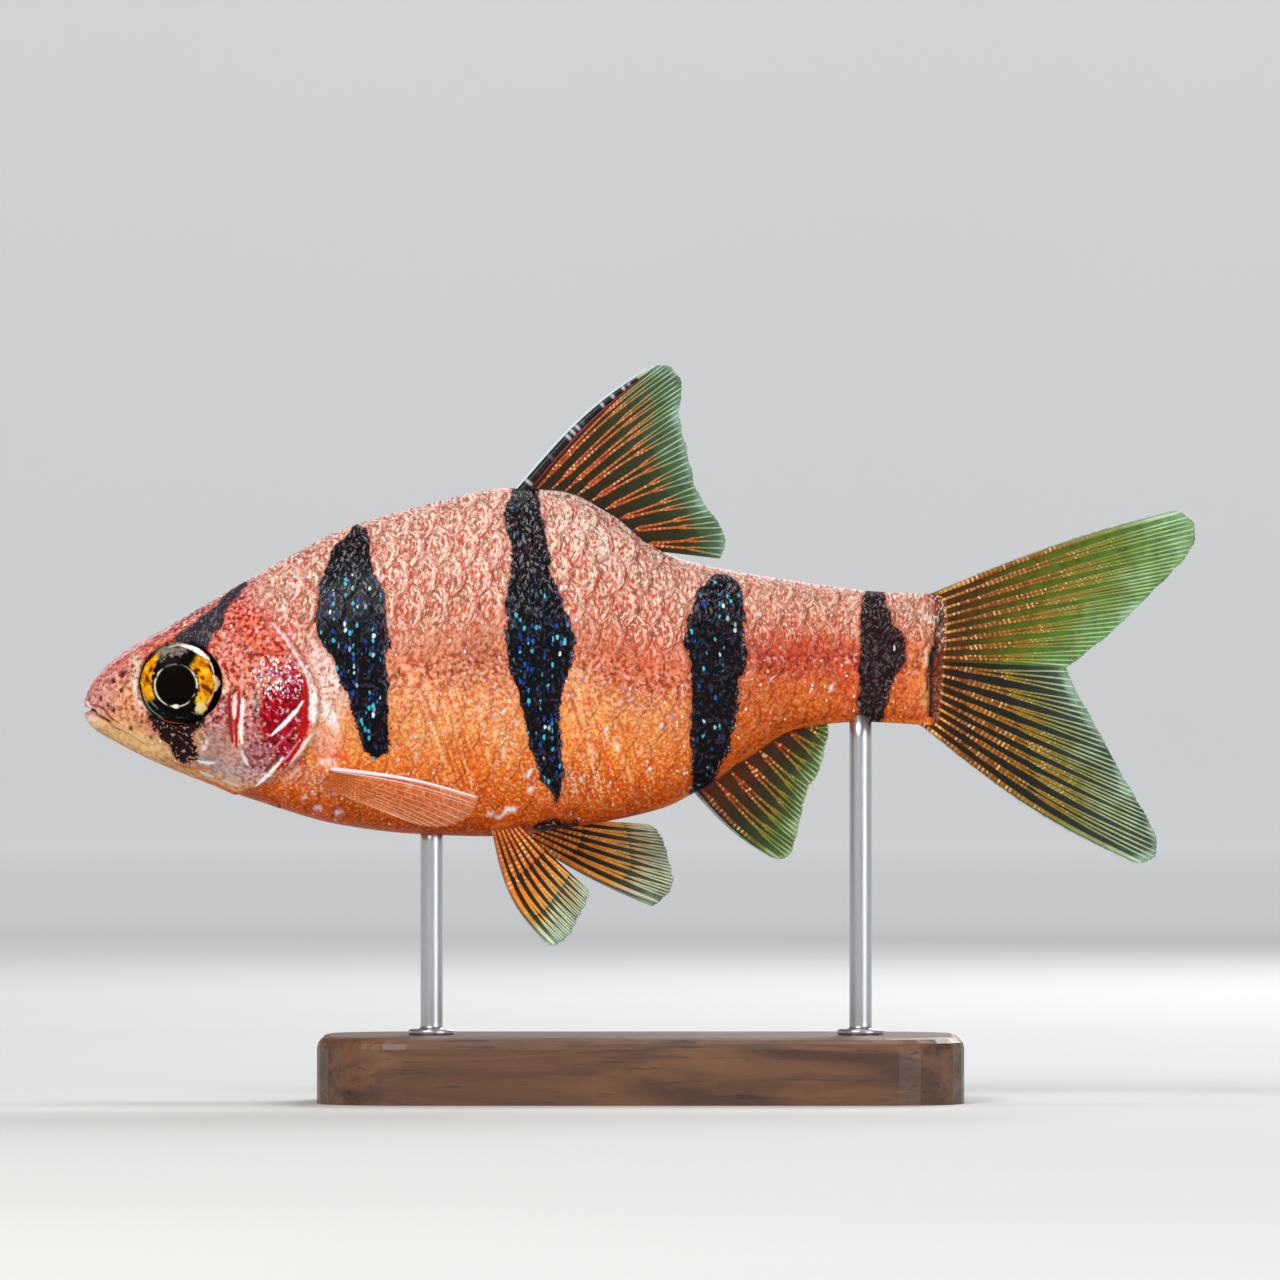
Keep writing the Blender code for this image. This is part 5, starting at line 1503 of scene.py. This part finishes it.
PECTORAL_LEADS = [(0.02, 0.11, (250, 236, 248), 0.99, False), (0.09, 0.05, (240, 190, 190), 0.97, False)]


def fin_paint(stops, clears, dark_front=0.0, edge=0.0):
    """Colours along a fin from root to tip, and how see-through its web is there.

    stops are (share of the way out, colour); clears are how see-through it is at the root, half way
    and at the tip; dark_front is the leading edge's darkness and edge the strength of the pale line
    along it.
    """
    shares = [share for share, _ in stops]
    tints = np.array([rgb(*tint) for _, tint in stops]).T

    def paint(u, v, points, foot):
        u = np.broadcast_to(u, v.shape)
        way = np.clip(v + 0.07 * noise(points, 0.8, 14), 0, 1)
        colour = np.stack([np.interp(way, shares, channel) for channel in tints], -1)
        colour = colour * (1 + 0.2 * noise(points, 0.35, 15))[..., None]
        front = dark_front * (1 - ease(0.03, 0.14, u)) * (1 - ease(0.72, 0.9, v))
        pale = edge * (1 - ease(0.012, 0.028, u))
        colour = tinted(tinted(colour, (12, 12, 18), front), (196, 210, 212), pale)
        clear = np.interp(way, (0.0, 0.5, 1.0), clears) * (1 - 0.7 * front) * (1 - 0.9 * pale)
        body = 1 - ease(0.2, 0.4, foot + 0.1 * noise(points, 0.3, 17))
        near = body > 0
        colour[near] = blend(colour[near], painted(points[near]), body[near][:, None])
        return np.clip(colour, 0, 1), np.clip(clear * ease(0.25, 0.6, foot), 0, 0.97)

    return paint


def make_fins(web, ray):
    finishes = [web, ray]
    dorsal = fan(line_root(back, *DORSAL_ROOT, 1), DORSAL_MARGIN, lambda u: 0.42 * (1 - u) ** 2, 1.3)
    make_fin(
        "dorsal_fin", median(dorsal, 0.35), 10, fin_paint(DORSAL_WEB, (0.03, 0.12, 0.3), 0.9, 0.9),
        fin_paint(DORSAL_RAYS, OPAQUE, 0.9), finishes, width=0.115, branch=(0.12, 0.56),
        leads=DORSAL_LEADS,
    )
    anal = fan(line_root(belly, *ANAL_ROOT, -1), ANAL_MARGIN, lambda u: -0.25 * (1 - u) ** 2, 1.15)
    make_fin(
        "anal_fin", median(anal, -0.3), 8, fin_paint(ANAL_WEB, (0.02, 0.1, 0.3), 0.4, 0.5),
        fin_paint(ANAL_RAYS, OPAQUE, 0.6), finishes, width=0.13, branch=(0.2, 0.62),
    )
    lobes = [
        ("caudal_fin_upper", CAUDAL_ROOT_TOP, CAUDAL_UPPER_MARGIN, 0.3, UPPER_WEB),
        ("caudal_fin_lower", CAUDAL_ROOT_BOTTOM, CAUDAL_LOWER_MARGIN, -0.5, LOWER_WEB),
    ]
    rays = fin_paint(CAUDAL_RAYS, OPAQUE, 0, 0.6)
    for name, corner, margin, bow, stops in lobes:
        root = straight_root(corner, CAUDAL_MIDDLE)
        lobe = median(fan(root, margin, lambda u, bow=bow: bow * (1 - u) ** 2, 1.3), 0.5)
        make_fin(name, lobe, 9, fin_paint(stops, (0.03, 0.12, 0.3), 0.0, 0.9), rays, finishes,
                 width=0.125, branch=(0.2, 0.48))
    pelvic_web = fin_paint(PELVIC_WEB, (0.02, 0.06, 0.3), 0.0, 0.5)
    pelvic_ray = fin_paint(PELVIC_RAYS, OPAQUE)
    down = pelvic(PELVIC_DOWN_ROOT, PELVIC_DOWN_MARGIN, LEFT, lambda u: -0.62 * (1 - u))
    rear = pelvic(PELVIC_BACK_ROOT, PELVIC_BACK_MARGIN, RIGHT, lambda u: -0.25 * (1 - u))
    for name, surface in (("pelvic_fin_left", down), ("pelvic_fin_right", rear)):
        make_fin(name, surface, 7, pelvic_web, pelvic_ray, finishes, width=0.14, branch=(0.42, 0.74))
    pectoral_web = fin_paint(PECTORAL_WEB, (0.6, 0.9, 0.9))
    pectoral_ray = fin_paint(PECTORAL_RAYS, OPAQUE)
    for side, word in ((LEFT, "left"), (RIGHT, "right")):
        make_fin(f"pectoral_fin_{word}", pectoral(side), 12, pectoral_web, pectoral_ray, finishes,
                 width=0.028, branch=None, leads=PECTORAL_LEADS)


# Finishes

def mottle(f, colour, grain, tone, share, streak):
    """Pale and dark crumbs all over, calmer where the low flank's fine bits are."""
    strong = f.window(share, 0.6, 0.9)
    light = f.mix(colour, rgb(188, 160, 164), f.product(f.window(tone, 0.5, 0.58), strong))
    dark = f.mix(rgb(188, 92, 80), rgb(150, 124, 104), f.window(tone, 0.47, 0.39))
    colour = f.mix(colour, light, f.product(f.window(grain, 0.51, 0.61), share), "SCREEN")
    calm = f.total(1.0, f.product(streak, -0.7))
    return f.mix(colour, dark, f.product(f.window(grain, 0.48, 0.38), share, calm), "MULTIPLY")


def stroke(f, colour, strokes, tone, net):
    """Cream and brown strokes on the back and the upper flank."""
    cream = f.mix(rgb(255, 236, 208), rgb(250, 204, 194), f.window(tone, 0.48, 0.58))
    brown = f.mix(rgb(190, 62, 38), rgb(110, 108, 90), f.window(tone, 0.53, 0.43))
    colour = f.mix(colour, cream, f.product(f.window(strokes, 0.53, 0.61), net, 0.85))
    return f.mix(colour, brown, f.product(f.window(strokes, 0.48, 0.4), net, 0.9))


def sprinkle(f, colour, tone, streak, ribs):
    """Gold, pink and orange bits on the low flank, and thin threads along its ribs."""
    bits = f.noise(f.place(0.13), 1.0, 0.5)
    thread = f.noise(f.wobbled(f.place(1.0, (0.17, 2.4, 3.0), -18.0), 0.8, 0.9), 2.0, 0.5)
    sunny = f.mix(rgb(255, 206, 124), rgb(255, 190, 172), f.window(tone, 0.5, 0.6))
    colour = f.mix(colour, sunny, f.product(f.window(bits, 0.54, 0.64), streak, 0.55))
    colour = f.mix(colour, rgb(214, 74, 14), f.product(f.window(bits, 0.46, 0.36), streak, 0.5))
    lit = f.product(f.window(thread, 0.54, 0.64), f.window(bits, 0.4, 0.5), ribs, 0.6)
    colour = f.mix(colour, rgb(255, 214, 176), lit)
    return f.mix(colour, rgb(200, 50, 20), f.product(f.window(thread, 0.44, 0.36), ribs, 0.55))


def rim_scales(f, colour, across, along, grain, wide, tone, net):
    """A pale arc inside each scale's rear edge and a red one along it."""
    middle = f.window(f.maths("ABSOLUTE", f.maths("SUBTRACT", across, 0.5)), 0.42, 0.24)
    at = f.total(along, f.centred(grain, 0.12), f.centred(wide, 0.1))
    pale = f.product(f.window(at, 0.82, 0.85), f.window(at, 0.91, 0.88), middle,
                     f.window(tone, 0.4, 0.48))
    colour = f.mix(colour, rgb(255, 240, 224), f.product(pale, net, 0.45))
    rim = f.product(f.window(at, 0.92, 0.94), middle, f.window(tone, 0.54, 0.44))
    return f.mix(colour, rgb(190, 56, 32), f.product(rim, net, 0.45))


def band_ink(f, ink, edge, strokes, bluish, plain, silver, grain, tone, wide):
    """The bands' black with its dark blue, silver, shore and reddish marks."""
    shade = f.mix(rgb(78, 44, 46), rgb(56, 62, 92), f.product(bluish, f.window(tone, 0.56, 0.46)))
    ink = f.mix(ink, shade, f.product(f.window(grain, 0.53, 0.64), 0.6))
    ink = f.mix(ink, rgb(150, 146, 150), f.product(f.window(strokes, 0.55, 0.62), silver, 0.6))
    shore = f.product(f.window(edge, 0.0, 0.06), f.window(edge, 0.2, 0.1), f.window(wide, 0.46, 0.56))
    ink = f.mix(ink, rgb(84, 100, 132), f.product(shore, f.window(grain, 0.44, 0.54), bluish, 0.6))
    return f.mix(ink, rgb(206, 150, 142), f.product(f.window(grain, 0.6, 0.66), plain, 0.7))


def flecks(f, size, chance):
    """Small bright spots by chance, and two random numbers for each spot."""
    spots = f.wobbled(f.place(size, (0.85, 1.0, 1.3)), 0.6, 0.5)
    lot = f.node("ShaderNodeSeparateColor", 0, Color=f.cells(spots, "Color"))
    chosen = f.window(f.maths("SUBTRACT", lot, chance), 0.02, -0.02)
    return f.product(f.window(f.cells(spots), 0.56, 0.32), chosen), *list(lot.node.outputs)[1:]


def flesh_finish(name, scaled):
    """Wet skin: painted markings under mottling, strokes on the back, bits on the belly, bands."""
    f = Finish(name, Roughness=0.46, IOR=1.4, Coat_Weight=0.04, Coat_Roughness=0.2,
               Specular_IOR_Level=0.12)
    colour, ink = f.attribute("paint"), f.attribute("ink")
    edge, net, streak, fleck, crumbs, silver, ribs = (f.amount(key) for key in SHARES)
    grain = f.noise(f.place(0.2), 1.5, 0.6)
    tone = f.noise(f.place(0.3), 1.0, 0.5)
    wide = f.noise(f.place(0.7), 2.0, 0.5)
    if scaled:
        local = f.map("Scale")
        across = f.node("ShaderNodeSeparateXYZ", "X", Vector=local)
        along = f.node("ShaderNodeSeparateXYZ", "Y", Vector=local)
        arcs = f.product(f.window(along, 0.6, 0.66), f.window(along, 0.92, 0.86))
        strokes = f.noise(f.added(f.map("Scale", (10.0, 18.0)), f.place(0.5)), 2.0, 0.6, 0.4)
    else:
        arcs = f.window(wide, 0.5, 0.56)
        strokes = f.noise(f.place(1.0, (0.11, 0.6, 0.24)), 1.5, 0.55, 0.6)

    colour = mottle(f, colour, grain, tone, crumbs, streak)
    colour = stroke(f, colour, strokes, tone, net)
    colour = sprinkle(f, colour, tone, streak, ribs)
    if scaled:
        colour = rim_scales(f, colour, across, along, grain, wide, tone, net)
    bluish = f.window(fleck, 0.0, 0.04)
    plain = f.maths("SUBTRACT", f.maths("SUBTRACT", 1.0, bluish), silver, True)
    ragged = f.product(f.total(f.centred(grain, 0.35), f.centred(wide, 0.3)),
                       f.total(1.0, f.product(plain, 1.6)))
    band = f.window(f.total(edge, ragged), -0.05, 0.05)
    ink = band_ink(f, ink, edge, strokes, bluish, plain, silver, grain, tone, wide)
    colour = f.mix(colour, ink, band)

    chosen, other, shine = flecks(f, 0.21, f.product(fleck, f.total(0.3, arcs)))
    blue = f.mix(rgb(22, 70, 168), rgb(64, 190, 212), f.window(other, 0.4, 0.7))
    blue = f.mix(blue, rgb(206, 240, 240), f.window(shine, 0.8, 0.95))
    colour = f.mix(colour, blue, f.product(chosen, band))
    # White specks off the bands: the gill cover's own specks and, elsewhere, the painted sparkle
    # highlights.
    chosen, other, _ = flecks(f, 0.13, fleck)
    white = f.mix(rgb(255, 250, 246), rgb(150, 160, 236), f.window(other, 0.66, 0.8))
    colour = f.mix(colour, white, f.product(chosen, f.maths("SUBTRACT", 1.0, band)))
    f.into("Base Color", colour)
    f.into("Normal", f.bump(f.total(f.product(grain, 0.6), f.product(strokes, net, 0.4)), 0.03, 0.5))
    return f.material


def eye_finish():
    f = Finish("eye_lens", Roughness=0.5, Coat_Weight=0.01, Coat_Roughness=0.02, IOR=1.4,
               Specular_IOR_Level=0.04)
    grain = f.noise(f.place(0.12), 3.0, 0.6)
    f.into("Base Color", f.mix(f.attribute("paint"), rgb(60, 30, 10), f.product(grain, 0.12)))
    f.into("Normal", f.bump(grain, 0.02, 0.3))
    return f.material


def web_finish():
    f = Finish("fin_web_fine", Roughness=0.5, Coat_Weight=0.1, Coat_Roughness=0.2, IOR=1.38,
               Specular_IOR_Level=0.25)
    paint, clear = f.attribute("paint"), f.amount("clear")
    grain = f.noise(f.place(0.3), 3.0, 0.6)
    f.into("Base Color", f.mix(paint, rgb(214, 206, 192), f.window(grain, 0.45, 0.7), "MULTIPLY"))
    thin = f.node("ShaderNodeMapRange", 0, Value=grain, To_Min=1.1, To_Max=0.8)
    f.into("Alpha", f.maths("SUBTRACT", 1.0, f.product(clear, thin), True))
    f.into("Normal", f.bump(grain, 0.02, 0.5))
    return f.material


def ray_finish():
    """Horny rays: bright beads here and there at a segment's middle, dark joints, plain at the tip."""
    f = Finish("fin_ray_fine", Roughness=0.42, Coat_Weight=0.12, Coat_Roughness=0.15, IOR=1.45,
               Specular_IOR_Level=0.35)
    paint, along = f.attribute("paint"), f.amount("along")
    segmented, near = f.window(f.amount("tip"), 0.85, 0.55), f.window(f.amount("tip"), 0.6, 0.3)
    off = f.maths("ABSOLUTE", f.maths("SUBTRACT", f.maths("FRACT", along), 0.5))
    grain = f.noise(f.place(0.3), 2.0, 0.6)
    chosen = f.window(f.noise(f.place(1.1), 2.0, 0.6), 0.42, 0.6)
    bead = f.product(f.window(off, 0.22, 0.08), f.window(grain, 0.42, 0.58),
                     f.total(f.product(chosen, 0.7), 0.2))
    colour = f.mix(paint, rgb(255, 222, 160), f.product(bead, segmented))
    dark = f.product(f.window(grain, 0.5, 0.38), 0.35, near)
    colour = f.mix(colour, rgb(110, 40, 16), dark, "MULTIPLY")
    joint = f.product(f.window(off, 0.36, 0.46), 0.6, near)
    colour = f.mix(colour, rgb(130, 70, 44), joint, "MULTIPLY")
    f.into("Base Color", colour)
    f.into("Normal", f.bump(grain, 0.02, 0.4))
    return f.material


def wood_finish():
    f = Finish("stand_wood", Roughness=0.45, Coat_Weight=0.15, Coat_Roughness=0.3)
    grain = f.noise(f.place(1.6, (8.0, 1.0, 1.0)), 4.0, 0.6, 0.8)
    pores = f.noise(f.place(0.25, (12.0, 1.0, 1.0)), 3.0, 0.6)
    colour = f.mix(rgb(74, 46, 30), rgb(120, 80, 52), f.window(grain, 0.35, 0.65))
    colour = f.mix(colour, rgb(36, 22, 14), f.product(f.window(pores, 0.58, 0.7), 0.7))
    f.into("Base Color", colour)
    f.into("Roughness", f.node("ShaderNodeMapRange", 0, Value=pores, To_Min=0.35, To_Max=0.6))
    f.into("Normal", f.bump(pores, 0.05, 0.4))
    return f.material


def steel_finish():
    f = Finish("stand_brushed_steel", Metallic=1.0, Roughness=0.3)
    brush = f.noise(f.place(0.06, (1.0, 1.0, 40.0)), 3.0, 0.6)
    f.into("Base Color", f.mix(rgb(176, 178, 182), rgb(214, 216, 220), brush))
    f.into("Roughness", f.node("ShaderNodeMapRange", 0, Value=brush, To_Min=0.22, To_Max=0.42))
    f.into("Normal", f.bump(brush, 0.01, 0.3))
    return f.material


def dress(node, finish):
    frame["nodes"][node].material_slots[0].material = finish


# Stage, light and camera

FLOOR_RADIUS = 1000.0
COVE_RADIUS = 140.0
WALL_TOP = 200.0
WALL_GLOW = 0.42
STAGE_SIDES = 64
STAGE_RINGS = 15
COVE_RINGS = 17
GLOW_RISE = (120.0, 560.0)


def make_stage():
    """A round pale floor that curves up into a pale, softly lit wall beyond every view's camera."""
    turns = np.linspace(0, np.pi / 2, COVE_RINGS)
    flat = np.linspace(0, FLOOR_RADIUS, STAGE_RINGS)
    wall = FLOOR_RADIUS + COVE_RADIUS
    radii = np.concatenate([flat, FLOOR_RADIUS + COVE_RADIUS * np.sin(turns), [wall]])
    heights = np.concatenate([0 * flat, COVE_RADIUS * (1 - np.cos(turns)), [WALL_TOP]])
    around = 2 * np.pi * np.arange(STAGE_SIDES) / STAGE_SIDES
    x, y = radii[1:, None] * np.cos(around), radii[1:, None] * np.sin(around)
    points = np.stack(np.broadcast_arrays(x, y, heights[1:, None]), -1).reshape(-1, 3)
    points = np.concatenate([[[0.0, 0.0, 0.0]], points]) * MM
    quads = 1 + ring_faces(len(radii) - 1, STAGE_SIDES)
    centre = end_faces(0, 1, STAGE_SIDES)
    mesh = bpy.data.meshes.new("stage")
    mesh.from_pydata(points.tolist(), [], quads.tolist() + centre.tolist())
    mesh.shade_smooth()
    glow = np.repeat(ease(*GLOW_RISE, radii[1:]), STAGE_SIDES)
    layer = mesh.attributes.new("glow", "FLOAT", "POINT")
    layer.data.foreach_set("value", np.concatenate([[0.0], glow]).astype(np.float32))
    floor = bpy.data.objects.new("stage", mesh)
    bpy.context.scene.collection.objects.link(floor)
    f = Finish("stage_paper", Roughness=0.85, Emission_Color=(0.96, 0.98, 1.0, 1.0))
    f.into("Base Color", f.mix(rgb(204, 204, 202), rgb(210, 210, 208), f.noise(f.place(60.0))))
    f.into("Emission Strength", f.product(f.amount("glow"), WALL_GLOW))
    f.material.cycles.emission_sampling = "NONE"
    mesh.materials.append(f.material)


def make_light(name, place, aim, size, power, colour):
    data = bpy.data.lights.new(name, "AREA")
    data.shape = "DISK"
    data.size = size * MM
    data.energy = power
    data.color = colour
    lamp = bpy.data.objects.new(name, data)
    lamp.location = Vector(place) * MM
    way = Vector(aim) * MM - lamp.location
    lamp.rotation_euler = way.to_track_quat("-Z", "Y").to_euler()
    bpy.context.scene.collection.objects.link(lamp)


def make_lights():
    for lamp in LAMPS:
        make_light(*lamp)
    studio = bpy.data.worlds.new("studio")
    studio.use_nodes = True
    sky = studio.node_tree.nodes["Background"]
    sky.inputs["Color"].default_value = SKY_COLOUR
    sky.inputs["Strength"].default_value = SKY_STRENGTH
    bpy.context.scene.world = studio


def make_camera():
    """Level, square on to the fish's left side, framed as the photograph is."""
    data = bpy.data.cameras.new("camera")
    camera = bpy.data.objects.new("camera", data)
    side = PHOTO_SIDE * PHOTO_SCALE
    x = (PHOTO_SIDE / 2 - PHOTO_SNOUT[0]) * PHOTO_SCALE + SNOUT_X
    z = SNOUT_HEIGHT + (PHOTO_SNOUT[1] - PHOTO_SIDE / 2) * PHOTO_SCALE
    camera.location = Vector((x, -CAMERA_DISTANCE, z)) * MM
    camera.rotation_euler = (math.pi / 2, 0.0, 0.0)
    data.sensor_width = SENSOR_WIDTH
    data.lens = data.sensor_width * CAMERA_DISTANCE / side
    data.clip_start, data.clip_end = CAMERA_CLIP
    bpy.context.scene.collection.objects.link(camera)
    bpy.context.scene.camera = camera


def main():
    skin = flesh_finish("barb_skin_fine", False)
    scaled = flesh_finish("barb_scales_fine", True)
    make_skin(skin)
    make_barbels(skin)
    girth = Girth()
    for side, word in ((LEFT, "left"), (RIGHT, "right")):
        make_scales(girth, side, word, scaled)
    make_eyes(eye_finish())
    make_fins(web_finish(), ray_finish())
    dress("stand_base", wood_finish())
    make_rods(steel_finish())
    make_stage()
    make_lights()
    make_camera()
    bpy.context.scene.view_settings.view_transform = "Standard"


main()
